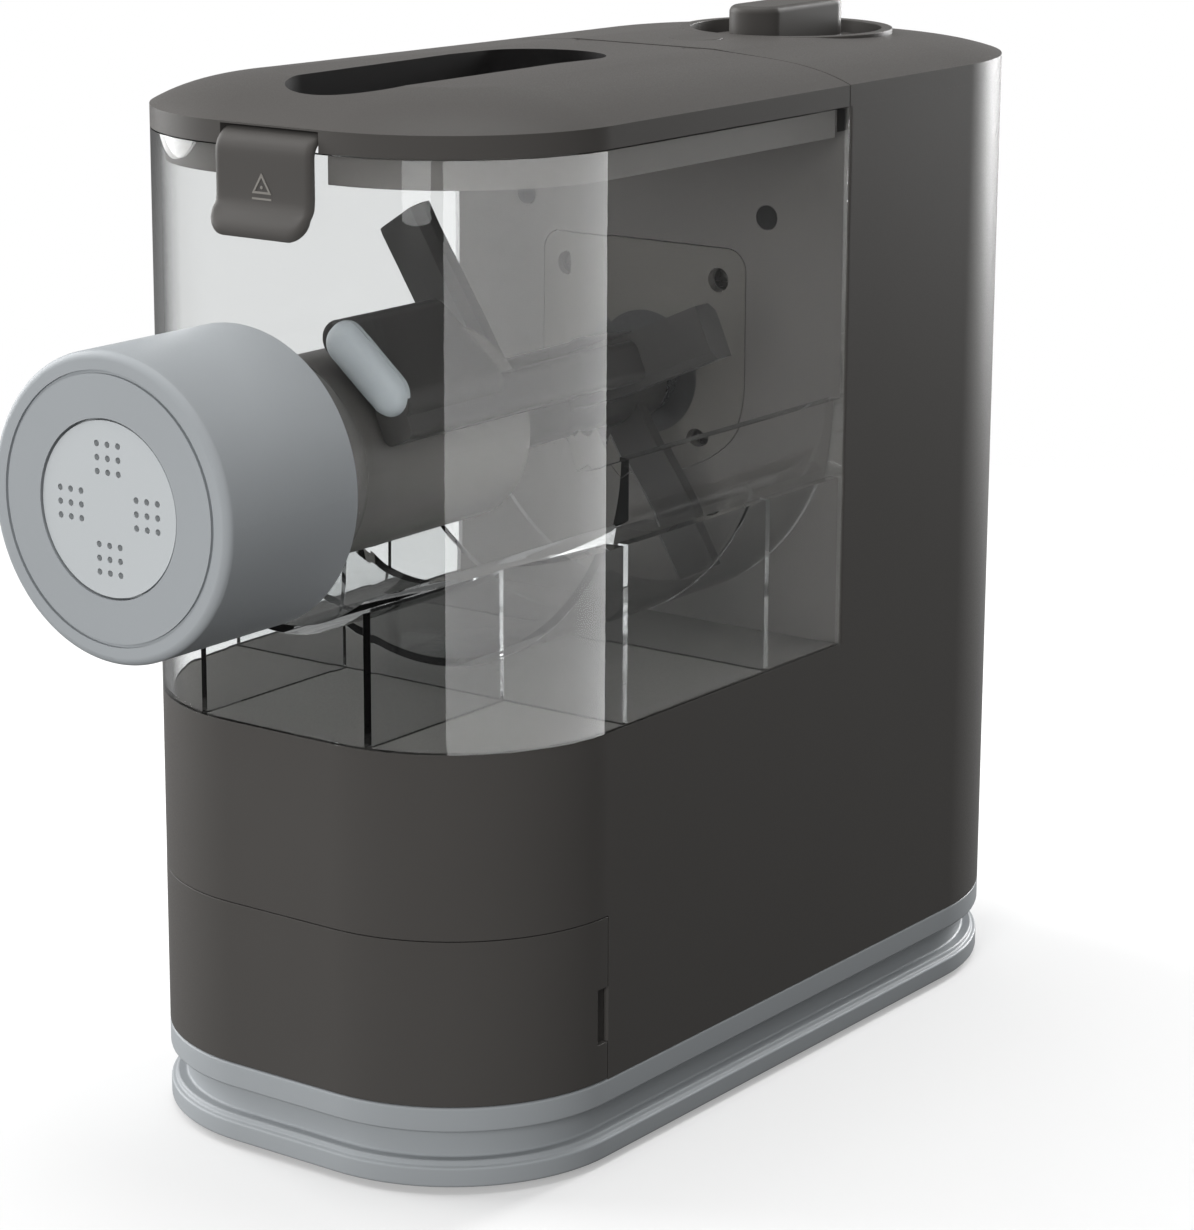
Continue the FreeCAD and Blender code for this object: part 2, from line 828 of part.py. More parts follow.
def crown(name, inset, drop, base):
    """Makes the crowned top as a solid, drawn in and lowered by a wall where it is an inside."""
    inset, drop = as_length(inset), as_length(drop)
    top = crease - drop
    rim = extrude(f"{name}_rim", plan_of(inset), at(0, 0, base), top - base)
    steps = [
        (0, 0, 0),
        (size("crown_step_low"), size("crown_low"), 0.3),
        (size("crown_step_mid"), size("crown_mid"), 0.7),
        (size("crown_step_top"), size("crown_rise"), 1.0),
    ]
    middle = (front + rear) / 2
    sections = []
    for step, rise, share in steps:
        tilt = Rotation(Vector(1, 0, 0), -size("crown_fall_degrees").number * share)
        place = at(0, middle, top + rise, tilt)
        sketch = put(doc.addObject("Sketcher::SketchObject", f"{name}_section"), place)
        into = inset + step
        low = front_round - into
        high = rear_round - into
        low = low if low.number > 1 else SMALL_ROUND
        draw_plan(sketch, half_width - into, front + into - middle, rear - into - middle, low, high)
        sections.append(sketch)
    dome = doc.addObject("Part::Loft", f"{name}_dome")
    dome.Sections = sections
    dome.Solid = True
    return fuse(name, [rim, dome])


def crown_level(y):
    """Gives the crowned top's level on the middle line at a depth."""
    fall = math.tan(math.radians(size("crown_fall_degrees").number))
    return crown_top - (y - (front + rear) / 2) * fall


def hinge_axis():
    """Gives the lid's hinge line, about which the lid's rear top edge is rounded."""
    return lid_back - size("hinge_round"), crown_level(lid_back) - size("hinge_round")


def across(name, radius, x, wide, y, z):
    """Makes a cylinder that lies across the machine about a middle."""
    return cylinder(name, radius, wide, at(x - wide / 2, y, z, LYING_ACROSS))


def bar_front():
    return lid_back - size("hinge_bar_depth")


def hinge_middles():
    return (-size("hinge_place"), size("hinge_place"))


def make_hinge_bar():
    """Makes the cross bar at the chamber's rear rim, with the two eyes that the lid turns in."""
    eye_y, eye_z = hinge_axis()
    high = lid_seat - gap * 2
    inner_half = half_width - clear_wall
    low = high - size("hinge_bar_height")
    parts = [box("hinge_rail", -inner_half, inner_half, bar_front(), lid_back, low, high)]
    half = size("hinge_arm") / 2
    for x in hinge_middles():
        parts.append(box("hinge_arm", x - half, x + half, eye_y, lid_back, high - gap, eye_z))
        parts.append(across("hinge_eye", size("hinge_round"), x, size("hinge_arm"), eye_y, eye_z))
    bar = fuse("hinge_bar_solid", parts)
    long = (size("hinge_place") + size("hinge_arm")) * 2
    bore = across("hinge_bore", size("hinge_pin") + size("run_gap"), 0, long, eye_y, eye_z)
    node(cut("hinge_bar_bored", bar, bore), "lid_hinge_bar")


def with_hinge(lid):
    """Frees the lid's rear of the hinge bar, rounds its rear edge and adds its pins."""
    pin_y, pin_z = hinge_axis()
    radius = size("hinge_round")
    far = half_width + past
    behind = lid_back + past
    low = lid_seat - size("skirt_drop") - past
    under = box("hinge_bar_room", -far, far, bar_front() - gap, behind, low, lid_seat)
    edge = box("hinge_edge_corner", -far, far, pin_y, behind, pin_z, crown_top + past)
    kept = across("hinge_edge_kept", radius, 0, far * 2 + past, pin_y, pin_z)
    half = size("hinge_arm") / 2 + gap
    barrels = []
    rooms = []
    pins = []
    for x in hinge_middles():
        wide = size("hinge_arm") * 2
        barrels.append(across("hinge_barrel", radius, x, wide, pin_y, pin_z))
        pins.append(across("hinge_pin", size("hinge_pin"), x, wide, pin_y, pin_z))
        rooms.append(box("hinge_notch", x - half, x + half, pin_y - radius - gap, behind,
                         lid_seat - past, crown_top + past))
    freed = cut("lid_freed", lid, fuse("hinge_room", [under, cut("hinge_edge", edge, kept)]))
    barrelled = cut("lid_hinge_notched", fuse("lid_barrelled", [freed] + barrels), fuse("hinge_notches", rooms))
    return fuse("lid_hinged", [barrelled] + pins)


def make_lid():
    outer = crown("lid_outer", 0, 0, lid_seat)
    low = lid_seat - size("skirt_drop") - past
    side_wall = clear_wall + gap + size("skirt_wall")
    inner = crown("lid_inner", side_wall, size("lid_wall"), low)
    far = half_width + past
    keep = box("lid_keep", -far, far, front - past, lid_back, low, crown_top + past)
    room = box("lid_room", -far, far, front - past, lid_back - size("lid_wall"), low - past, crown_top + past)
    skirt_inset = clear_wall + gap
    skirt_plan = plan(half_width - skirt_inset, front + skirt_inset + size("skirt_swing"), lid_back,
                      front_round - skirt_inset, SMALL_ROUND)
    skirt = extrude("lid_skirt", skirt_plan, at(0, 0, lid_seat - size("skirt_drop")),
                    size("skirt_drop") + size("rim_height") / 2)
    body = fuse("lid_body", [common("lid_front", [outer, keep]), skirt])
    hollow = common("lid_hollow", [inner, room])
    shell = cut("lid_shell", body, hollow)
    slot_half = size("slot_width") / 2
    slot_front = front + size("slot_start")
    slot_back = slot_front + size("slot_length")
    throat_wall = size("lid_wall")
    throat_half = slot_half + throat_wall
    throat_round = throat_half - size("tangent_slack")
    throat_plan = plan(throat_half, slot_front - throat_wall, slot_back + throat_wall, throat_round, throat_round)
    throat_base = crease - size("slot_throat") / 2
    throat_tall = crown_top + past - throat_base
    throat_wall_solid = extrude("lid_throat_wall", throat_plan, at(0, 0, throat_base), throat_tall)
    throat = common("lid_throat", [outer_copy("lid_throat_crown"), throat_wall_solid])
    slot_round = slot_half - size("tangent_slack")
    slot_plan = plan(slot_half, slot_front, slot_back, slot_round, slot_round)
    slot = extrude("lid_slot", slot_plan, at(0, 0, low), crown_top + past - low)
    body = fuse("lid_with_throat", [shell, throat])
    open_lid = with_hinge(cut("lid_open", body, slot))
    half = size("catch_width") / 2 + gap
    notch_top = crease - size("catch_cover")
    notch = box("lid_notch", -half, half, front - past, front + size("catch_room"), low, notch_top)
    pin_y, pin_z = catch_axis()
    long = size("catch_width") + size("catch_pin_end") * 2
    hole = cylinder("lid_pin_hole", size("catch_pin") + size("run_gap"), long + gap,
                    at(-(long + gap) / 2, pin_y, pin_z, LYING_ACROSS))
    made = cut("lid_cut", cut("lid_notched", open_lid, notch), hole)
    return node(made, "lid")


def outer_copy(name):
    """Makes the crowned outside once more, for a wall that must end under it."""
    return crown(name, 0, 0, lid_seat - size("skirt_drop"))


def catch_axis():
    """Gives the catch's pivot: behind the rim's front, below its crease."""
    return front + size("catch_pivot_in"), crease - size("catch_pivot_down")


def make_catch():
    pin_y, pin_z = catch_axis()
    thick = size("catch_thickness")
    wide = size("catch_width")
    face = front - gap - thick
    foot = pin_z - size("catch_drop")
    flare = foot + size("catch_lip")
    lip = size("catch_flare")
    knuckle = size("catch_pin") + thick / 2
    brow = pin_z + size("catch_brow")
    points = [
        (pin_y, pin_z + knuckle),
        (face + thick, brow),
        (face, brow),
        (face, flare),
        (face - lip, foot),
        (face - lip + size("catch_curl_out"), foot - size("catch_curl_down")),
        (face + thick, flare - size("catch_curl_in")),
        (face + thick, pin_z - knuckle),
        (pin_y, pin_z - knuckle),
    ]
    plate = extrude("catch_plate", polygon(points), at(-wide / 2, 0, 0, FACING_RIGHT), wide)
    barrel = cylinder("catch_barrel", knuckle, wide, at(-wide / 2, pin_y, pin_z, LYING_ACROSS))
    bore = cylinder("catch_bore", size("catch_pin") + size("run_gap"), wide + past * 2,
                    at(-wide / 2 - past, pin_y, pin_z, LYING_ACROSS))
    node(cut("catch_clip_body", fuse("catch_solid", [plate, barrel]), bore), "latch_clip")
    long = wide + size("catch_pin_end") * 2
    pin = cylinder("catch_pin", size("catch_pin"), long,
                   at(-long / 2, pin_y, pin_z, LYING_ACROSS))
    node(pin, "latch_pin")


def make_column_cover():
    outer = crown("cover_outer", 0, 0, lid_seat)
    inner = crown("cover_inner", wall, size("lid_wall"), lid_seat - past)
    far = half_width + past
    top = crown_top + past
    keep = box("cover_keep", -far, far, wall_face, rear + past, lid_seat, top)
    room = box("cover_room", -far, far, wall_face + size("wall_thickness"), rear + past, lid_seat - past * 2, top)
    shell = cut("cover_shell", common("cover_rear", [outer, keep]), common("cover_hollow", [inner, room]))
    cup_base = button_cup_base()
    cup_tall = size("cup_depth") - size("lid_wall") / 2
    cup = cylinder("button_cup", size("button_radius") + size("lid_wall"), cup_tall, at(0, button_y, cup_base))
    shell = fuse("cover_with_cup", [shell, cup])
    bore = cylinder("button_bore", size("button_radius") + size("run_gap"), size("cup_depth") * 2,
                    at(0, button_y, cup_base + size("cup_floor")))
    stem = cylinder("button_stem_bore", size("stem_radius") + size("run_gap"), size("cup_depth"),
                    at(0, button_y, cup_base - past))
    dial_bore = size("dial_radius") - size("dial_rim") + size("run_gap")
    dial = cylinder("dial_bore", dial_bore, size("cup_depth") * 2, at(0, dial_y, lid_seat))
    seat = cylinder("dial_seat", size("dial_radius") + size("run_gap"), size("cup_depth"),
                    at(0, dial_y, crown_level(dial_y) - size("dial_sink")))
    made = cut("cover_cup_bored", cut("cover_button", shell, bore), stem)
    made = cut("cover_seated", cut("cover_bored", made, dial), seat)
    return node(made, "rear_top_cover")


def button_cup_base():
    """Gives the level of the button's cup under the cover."""
    return crown_level(button_y) - size("cup_depth")


# Depths of the extrusion head, stacked face to face from the cap's front to the chamber's neck

cap_face = front - size("cap_reach")
disc_back = cap_face + size("cap_wall") + size("disc_thickness") / 2 + size("disc_face_drop")
tube_nose = disc_back
neck_front = tube_nose + size("tube_flange_thickness")
neck_bore = size("tube_radius") + size("run_gap")
neck_radius = neck_bore + size("neck_wall")


# Clear mixing chamber: outer wall, round trough at the back, hopper floor in front, and a neck


def along_axis(name, radius, y_low, y_high):
    """Makes a cylinder about the drive axis between two depths."""
    return cylinder(name, radius, y_high - y_low, at(0, y_low, axis_z, TURNED_TO_BACK))


def hopper_outline(grow):
    """Gives the front floor's cross-section: sloped from the walls down to the round bottom."""
    reach = half_width - clear_wall - past + grow
    shoulder = axis_z - size("hopper_rise") - grow
    turn = math.radians(size("hopper_degrees").number)
    low_x = size("hopper_radius") * math.cos(turn)
    low_z = axis_z - size("hopper_radius") * math.sin(turn) - grow
    return polygon([(-reach, axis_z + past), (-reach, shoulder), (-low_x, low_z), (low_x, low_z),
                    (reach, shoulder), (reach, axis_z + past)])


def make_chamber():
    back = wall_face - gap
    web = size("trough_wall")
    step_y = front + size("hopper_depth")
    tall = chamber_tall - gap
    beyond = wall_face + past
    outer_plan = plan(half_width, front, back, front_round, size("tangent_slack"))
    outer = extrude("chamber_outer", outer_plan, at(0, 0, block_top), tall)
    inner_plan = plan(half_width - clear_wall, front + clear_wall, beyond,
                      front_round - clear_wall, size("tangent_slack"))

    def inner(name):
        return extrude(name, inner_plan, at(0, 0, block_top - past), tall + past * 2)

    far = half_width + past
    upper = box("chamber_upper", -far, far, front, beyond, axis_z, lid_seat + past)
    trough = along_axis("chamber_trough", size("trough_radius"), step_y, beyond)
    hopper = extrude("chamber_hopper", hopper_outline(0), at(0, step_y + past, 0, FACING_FRONT),
                     size("hopper_depth") + past)
    bowl = along_axis("chamber_bowl", size("hopper_radius"), front, step_y + past)
    room = common("chamber_room", [inner("chamber_inside"), fuse("chamber_hollow", [upper, trough, hopper, bowl])])
    under = box("chamber_under", -far, far, front, beyond, block_top - past, axis_z - size("under_drop"))
    keep_trough = along_axis("trough_skin", size("trough_radius") + web, step_y - web, beyond)
    keep_hopper = extrude("hopper_skin", hopper_outline(web), at(0, step_y, 0, FACING_FRONT), size("hopper_depth"))
    keep_bowl = along_axis("bowl_skin", size("hopper_radius") + web, front, step_y)
    rib = size("rib_wall") / 2
    webs = [box("chamber_web", -far, far, y - rib, y + rib, block_top - past, axis_z)
            for y in (step_y - rib, front + size("second_web"))]
    ribs = [box("chamber_rib", x - rib, x + rib, front, step_y, block_top - past, axis_z)
            for x in (-size("rib_place"), size("rib_place"))]
    kept = fuse("chamber_kept", [keep_trough, keep_hopper, keep_bowl] + webs + ribs)
    below = common("chamber_below", [inner("chamber_inside_low"), cut("chamber_under_room", under, kept)])
    shell = cut("chamber_floor", cut("chamber_shell", outer, room), below)
    neck = along_axis("chamber_neck", neck_radius, neck_front, front + clear_wall)
    bore = along_axis("chamber_neck_bore", neck_bore, neck_front - past, front + clear_wall + past)
    return node(cut("chamber_solid", fuse("chamber_necked", [shell, neck]), bore), "mixing_chamber")


# Extrusion head, each piece drawn about its own axis and then set on the drive axis


def on_axis(thing, y):
    """Sets a piece that was drawn about the lengthwise axis on the drive axis."""
    return put(thing, at(0, y, axis_z))


def ring_to_back(body, start, length, radius):
    """Adds a round length that starts at a depth behind the piece's own front."""
    return pad(body, "XZ_Plane", -(as_length(start) + length), round_at(0, 0, radius), length)


def bore_to_back(body, start, length, radius):
    """Cuts a round length that starts at a depth behind the piece's own front."""
    return pocket(body, "XZ_Plane", -as_length(start), round_at(0, 0, radius), length)


def make_cap():
    body = new_body("cap_ring")
    long = size("cap_length")
    first = ring_to_back(body, 0, long, size("cap_radius"))
    sleeve_bore = neck_radius + size("run_gap")
    skin = size("cap_wall")
    bore_to_back(body, 0, skin, size("disc_radius") + size("run_gap"))
    bore_to_back(body, skin, long - skin, sleeve_bore)
    sleeve = sleeve_bore + size("sleeve_wall")
    sketch_role = "XZ_Plane"

    def ring(sketch):
        draw_circle(sketch, 0, 0, size("cap_radius") - skin)
        draw_circle(sketch, 0, 0, sleeve)

    depth = long - size("cap_rib_front")
    pocket(body, sketch_role, -size("cap_rib_front"), ring, depth)

    def groove(sketch):
        draw_circle(sketch, 0, 0, size("face_groove_radius") + size("face_groove_width") / 2)
        draw_circle(sketch, 0, 0, size("face_groove_radius") - size("face_groove_width") / 2)

    last = pocket(body, sketch_role, 0, groove, size("face_groove_width"))
    rim = size("cap_radius").number

    def front_rim(edge):
        bounds = edge.BoundBox
        return abs(bounds.YMax) < 1e-6 and abs(bounds.ZMax - rim) < 1e-3

    round_edges(body, last, front_rim, size("cap_edge"))
    on_axis(body, cap_face)
    return first


def make_shaping_disc():
    body = new_body("shaping_disc")
    nose = size("cap_wall") - size("disc_face_drop")
    flange = disc_back - cap_face - size("cap_wall")
    ring_to_back(body, 0, nose, size("disc_radius"))
    ring_to_back(body, nose, flange, size("disc_flange"))
    depth = nose + flange
    pitch = size("hole_pitch")
    groups = [(0, 1), (0, -1), (1, 0), (-1, 0)]
    for across, up in groups:

        def holes(sketch, across=across, up=up):
            for column in (-1, 0, 1):
                for row in (-1, 0, 1):
                    x = size("hole_offset") * across + pitch * column
                    z = size("hole_offset") * up + pitch * row
                    draw_circle(sketch, x, z, size("hole_radius"))

        pocket(body, "XZ_Plane", 0, holes, depth)
    on_axis(body, cap_face + size("disc_face_drop"))


def make_tube():
    body = new_body("extrusion_tube")
    flange = size("tube_flange_thickness")
    long = front + size("tube_inside") - tube_nose
    ring_to_back(body, 0, flange, neck_radius)
    ring_to_back(body, flange, long - flange, size("tube_radius"))
    bore_to_back(body, 0, long, size("tube_radius") - size("tube_wall"))
    mouth_low = long - size("tube_inside") + size("mouth_start")
    mouth = rectangle(-size("tube_radius") - past, -size("mouth_edge"), mouth_low, mouth_low + size("mouth_length"))
    pocket(body, "XY_Plane", size("tube_radius") + past, mouth, size("tube_radius") + past - size("mouth_edge"))
    on_axis(body, tube_nose)


def make_screw():
    body = new_body("extrusion_screw")
    core = size("screw_core")
    start = size("screw_start")
    long = front + size("hub_front") - tube_nose - start
    ring_to_back(body, start, long, core)
    flight = size("tube_radius") - size("tube_wall") - size("flight_gap")
    root = core - size("flight_root")
    slope = size("flight_slope")
    first = start + size("flight_width")
    last = first + size("flight_width")
    outline = [(first, root), (last, root), (last - slope, flight), (first + slope, flight)]
    sketch = sketch_on(body, "YZ_Plane", 0, polygon(outline))
    helix = body.newObject("PartDesign::AdditiveHelix", "screw_flight")
    helix.Profile = sketch
    helix.ReferenceAxis = (sketch, ["H_Axis"])
    helix.Mode = "pitch-height-angle"
    bind(helix, "Pitch", size("screw_pitch"))
    bind(helix, "Height", long - size("screw_pitch"))
    on_axis(body, tube_nose)


# Mixing paddle: a hub with three blades, and two bars that reach forward round the tube


def blade(name, angle, y, low, high, wide, thick):
    """Makes one bevelled arm that leaves the axis at an angle above the right-hand side."""
    bevel = size("arm_bevel")
    half, deep = wide / 2, thick / 2
    points = [(-deep, -half + bevel), (-deep + bevel, -half), (deep, -half), (deep, half - bevel),
              (deep - bevel, half), (-deep, half)]
    turn = Rotation(Vector(0, 1, 0), -angle) * FACING_RIGHT
    reach = math.cos(math.radians(angle)), math.sin(math.radians(angle))
    place = at(low * reach[0], y, axis_z + low * reach[1], turn)
    return extrude(name, polygon(points), place, high - low)


def bar(name, angle, wide, y_low, y_high, inner, deep, ends):
    """Makes one bar along the axis, with rounded or bevelled sides, at an angle about it."""
    turn = Rotation(Vector(0, 1, 0), -angle) * FACING_FRONT

    def draw(sketch):
        # The outline's across direction is the radius here
        middle = inner + deep / 2
        draw_plan(sketch, deep / 2, -wide / 2, wide / 2, ends, ends, middle)

    return extrude(name, draw, at(0, y_high, axis_z, turn), y_high - y_low)


DRIVE_SIDES = 6


def make_paddle():
    reach = size("arm_reach")
    wide, thick = size("arm_width"), size("arm_thickness")
    thick_arm = size("long_arm_thickness")
    root = size("screw_core")
    hub = along_axis("paddle_hub", size("hub_radius"), front + size("hub_front"), front + size("hub_rear"))
    arm_a = size("arm_a_angle").number
    blade_turn = size("blade_angle").number
    arms = [
        blade("paddle_arm_c", size("arm_c_angle").number, front + size("arm_c_place"), root, reach, wide, thick),
        blade("paddle_arm_a", arm_a, front + size("arm_a_place"), root, reach, wide, thick_arm),
        blade("paddle_arm_d", arm_a + 180, front + size("arm_a_place"), root, reach, wide, thick_arm),
        blade("paddle_arm_b", size("arm_b_angle").number, front + size("arm_b_place"), root, reach, wide, thick),
    ]
    nose = front + size("bar_front")
    inner, deep = size("bar_inner"), size("bar_depth")
    long_bar = bar("paddle_bar", arm_a, size("bar_height"), nose, front + size("arm_a_place"), inner, deep,
                   size("arm_bevel"))
    scraper = bar("paddle_scraper", blade_turn, size("blade_span"), nose, nose + size("blade_length"), inner,
                  size("blade_height"), size("blade_height") / 2 - size("tangent_slack"))
    solid = fuse("paddle_solid", [hub, long_bar, scraper] + arms)
    socket = socket_prism("paddle_socket", size("nose_flats") / 2 + size("run_gap"),
                          front + size("hub_rear") - size("nose_length") - gap, front + size("hub_rear") + past)
    node(cut("paddle_body", solid, socket), "mixing_paddle")
    tip = bar("paddle_tip_solid", blade_turn, size("blade_span") - gap * 4, nose - size("tip_length"), nose,
              inner + gap * 2, size("blade_height") - gap * 4, size("blade_height") / 2 - gap * 2 - size("tangent_slack"))
    node(tip, "paddle_tip")


def socket_prism(name, flat, y_low, y_high):
    """Makes a six-sided length about the drive axis from its flats' half distance."""
    corner = flat / math.cos(math.pi / DRIVE_SIDES)
    turns = [2 * math.pi * i / DRIVE_SIDES for i in range(DRIVE_SIDES)]
    points = [(corner * math.cos(turn), axis_z + corner * math.sin(turn)) for turn in turns]
    return extrude(name, polygon(points), at(0, y_high, 0, FACING_FRONT), y_high - y_low)


# Drive: shaft, gears, case and motor, laid out downwards from the drive axis

case_front = wall_face + size("wall_thickness") + size("plate_back")
case_back = case_front + size("gear_case_depth")
case_wall = size("gear_case_wall")
idler_z = axis_z - (size("output_teeth") + size("idler_small_teeth")) * size("gear_module") / 2
motor_z = idler_z - (size("idler_large_teeth") + size("motor_teeth")) * size("idler_module") / 2
output_y = case_front + case_wall + size("gear_side_gap")
idler_y = output_y + size("output_gear_width") + size("gear_side_gap")


PRESSURE_ANGLE = math.radians(20)
ADDENDUM = 0.95
DEDENDUM = 1.2
FLANK_SHARES = (0.15, 0.55, 1.0)


def gear_outline(teeth, module, phase):
    """Draws one gear's outline with involute flanks, thinned by half the backlash."""
    pitch = teeth * module / 2
    base = pitch * math.cos(PRESSURE_ANGLE)
    tip = pitch + module * ADDENDUM
    root = pitch - module * DEDENDUM
    slack = size("gear_backlash").number / 2 / pitch

    def involute(radius):
        if radius <= base:
            return 0.0
        roll = math.sqrt((radius / base) ** 2 - 1)
        return roll - math.atan(roll)

    half_at_pitch = math.pi / 2 / teeth - slack
    wire_points = []
    radii = [root] + [max(base, root) + (tip - max(base, root)) * share for share in FLANK_SHARES]
    for tooth in range(teeth):
        middle = phase + 2 * math.pi * tooth / teeth
        halves = [half_at_pitch + involute(pitch) - involute(radius) for radius in radii]
        flank = list(zip(radii, halves))
        for radius, half in flank:
            wire_points.append(Vector(radius * math.cos(middle - half), 0, radius * math.sin(middle - half)))
        for radius, half in reversed(flank):
            wire_points.append(Vector(radius * math.cos(middle + half), 0, radius * math.sin(middle + half)))
    wire_points.append(wire_points[0])
    return Part.Face(Part.makePolygon(wire_points))


def make_gear(label, steps, bore):
    """Makes a gear of one or more steps along Y; each step is teeth, module, width and phase."""
    solid = None
    place = 0.0
    for teeth, module, width, phase in steps:
        piece = gear_outline(int(teeth.number), module.number, phase).extrude(Vector(0, width.number, 0))
        piece.translate(Vector(0, place, 0))
        solid = piece if solid is None else solid.fuse(piece)
        place += width.number
    hole = Part.makeCylinder(bore.number, place, Vector(0, 0, 0), Vector(0, 1, 0))
    feature = doc.addObject("Part::Feature", label)
    feature.Shape = solid.cut(hole).removeSplitter()
    return node(feature, label)


def make_gears():
    module, fine = size("gear_module"), size("idler_module")
    wide, thin = size("output_gear_width"), size("idler_gear_width")
    small = size("idler_small_teeth")
    output = make_gear("output_gear", [(size("output_teeth"), module, wide, 0.0)], size("shaft_radius"))
    put(output, at(0, output_y, axis_z))
    half_tooth = math.pi / small.number
    idler = make_gear("idler_gear", [(small, module, wide + size("gear_side_gap"), half_tooth),
                                     (size("idler_large_teeth"), fine, thin, 0.0)],
                      size("idler_pin") + size("run_gap"))
    put(idler, at(0, output_y, idler_z))
    pinion = make_gear("motor_pinion", [(size("motor_teeth"), fine, thin, 0.0)], size("motor_shaft"))
    put(pinion, at(0, idler_y, motor_z))


def make_shaft():
    flats = size("nose_flats") / 2
    nose_front = front + size("hub_rear") - size("nose_length")
    nose_back = wall_face
    nose = socket_prism("shaft_nose", flats, nose_front, nose_back + past)
    tail = along_axis("shaft_round", size("shaft_radius"), nose_back - size("collar_front"), case_back)
    collar = along_axis("shaft_collar", size("collar_radius"), nose_back - size("collar_front"), nose_back)
    node(fuse("shaft_solid", [nose, tail, collar]), "drive_shaft")
    inner = size("shaft_radius") + size("run_gap")
    rings = [
        ("shaft_seal", size("wall_bore"), wall_face, case_front),
        ("front_bearing", size("bearing_radius"), case_front, case_front + case_wall),
        ("rear_bearing", size("bearing_radius"), case_back - case_wall, case_back),
    ]
    for label, radius, low, high in rings:
        ring = cut(f"{label}_ring", along_axis(f"{label}_outer", radius, low, high),
                   along_axis(f"{label}_bore", inner, low - past, high + past))
        node(ring, label)


def make_gear_case():
    half = (size("output_teeth") + 2) * size("gear_module") / 2 + size("gear_case_gap")
    low = motor_z - size("motor_boss")
    high = axis_z + half
    outline = plan(half + case_wall, low - case_wall, high + case_wall, size("bearing_radius"), half)
    inner_outline = plan(half, low, high, size("bearing_radius") - case_wall, half - case_wall)
    lid = extrude("case_lid", outline, at(0, case_front + case_wall, 0, FACING_FRONT), case_wall)
    for name, radius, z in (("case_lid_shaft", size("bearing_radius"), axis_z),
                            ("case_lid_pin", size("idler_pin"), idler_z)):
        lid = cut(f"{name}_cut", lid, cylinder(name, radius, case_wall + past * 2,
                                               at(0, case_front - past, z, TURNED_TO_BACK)))
    node(lid, "gear_case_lid")
    tray = extrude("case_tray", outline, at(0, case_back, 0, FACING_FRONT), size("gear_case_depth") - case_wall)
    room = extrude("case_room", inner_outline, at(0, case_back - case_wall, 0, FACING_FRONT),
                   size("gear_case_depth"))
    tray = cut("case_hollow", tray, room)
    for name, radius, z in (("case_shaft", size("bearing_radius"), axis_z),
                            ("case_pin", size("idler_pin"), idler_z),
                            ("case_motor", size("motor_shaft") + gap, motor_z)):
        tray = cut(f"{name}_cut", tray, cylinder(name, radius, case_wall + past * 2,
                                                 at(0, case_back - case_wall - past, z, TURNED_TO_BACK)))
    node(tray, "gear_case")
    pin = cylinder("idler_pin_solid", size("idler_pin"), size("gear_case_depth"),
                   at(0, case_front, idler_z, TURNED_TO_BACK))
    node(pin, "idler_pin")


def make_motor():
    can = new_body("motor_can")
    long = column_back - case_back - size("fan_gap") - size("fan_width") - size("fan_clear")
    ring_to_back(can, 0, long, size("motor_radius"))
    bore_to_back(can, 0, long, size("motor_shaft") + size("run_gap"))
    flat = size("motor_flat")
    far = size("motor_radius") + past
    for side in (-1, 1):
        x_low = flat if side > 0 else -far
        x_high = far if side > 0 else -flat
        pocket(can, "XZ_Plane", 0, rectangle(x_low, x_high, -far, far), long)
    put(can, at(0, case_back, motor_z))
    shaft = new_body("motor_shaft")
    start = idler_y - case_back
    end = long + size("fan_gap") + size("fan_width")
    ring_to_back(shaft, start, end - start, size("motor_shaft"))
    put(shaft, at(0, case_back, motor_z))
    fan = new_body("cooling_fan")
    wide = size("fan_width")
    ring_to_back(fan, 0, wide, size("fan_hub"))
    ring_to_back(fan, wide - size("fan_disc"), size("fan_disc"), size("fan_radius"))
    vane = pad(fan, "XZ_Plane", -wide, rectangle(size("fan_hub") - past, size("fan_radius"),
                                                -size("fan_disc") / 2, size("fan_disc") / 2), wide)
    doc.recompute()
    ring = fan.newObject("PartDesign::PolarPattern", "fan_vanes")
    ring.Originals = [vane]
    ring.Axis = (vane.Profile[0], ["N_Axis"])
    ring.Angle = 360
    ring.Occurrences = 9
    fan.Tip = ring
    bore_to_back(fan, 0, wide, size("motor_shaft"))
    put(fan, at(0, case_back + long + size("fan_gap"), motor_z))


def make_board():
    half = size("board_half")
    low = axis_z - size("board_drop")
    y = case_back + size("board_stand")
    thick = size("board_thickness")
    sheet_plate = box("board_plate", -half, half, y, y + thick, low, low + size("board_height"))
    parts = [sheet_plate]
    part = size("board_part")
    for column in (-1, 0, 1):
        x = half * 0.55 * column
        z = low + size("board_height") * 0.7
        parts.append(box("board_part", x - part / 2, x + part / 2, y + thick, y + thick + part * 0.8, z, z + part))
    made = fuse("board_solid", parts)
    node(made, "circuit_board")
    posts = []
    inset = size("board_part") / 2
    for x in (-half + inset, half - inset):
        for z in (low + inset, low + size("board_height") - inset):
            posts.append(cylinder("board_post", size("fixing_radius"), size("board_stand"),
                                  at(x, case_back, z, TURNED_TO_BACK)))
    group("board_posts", posts)


# Controls on the column's top

dish_floor = crown_level(dial_y) - size("dial_depth") - size("dial_sink")


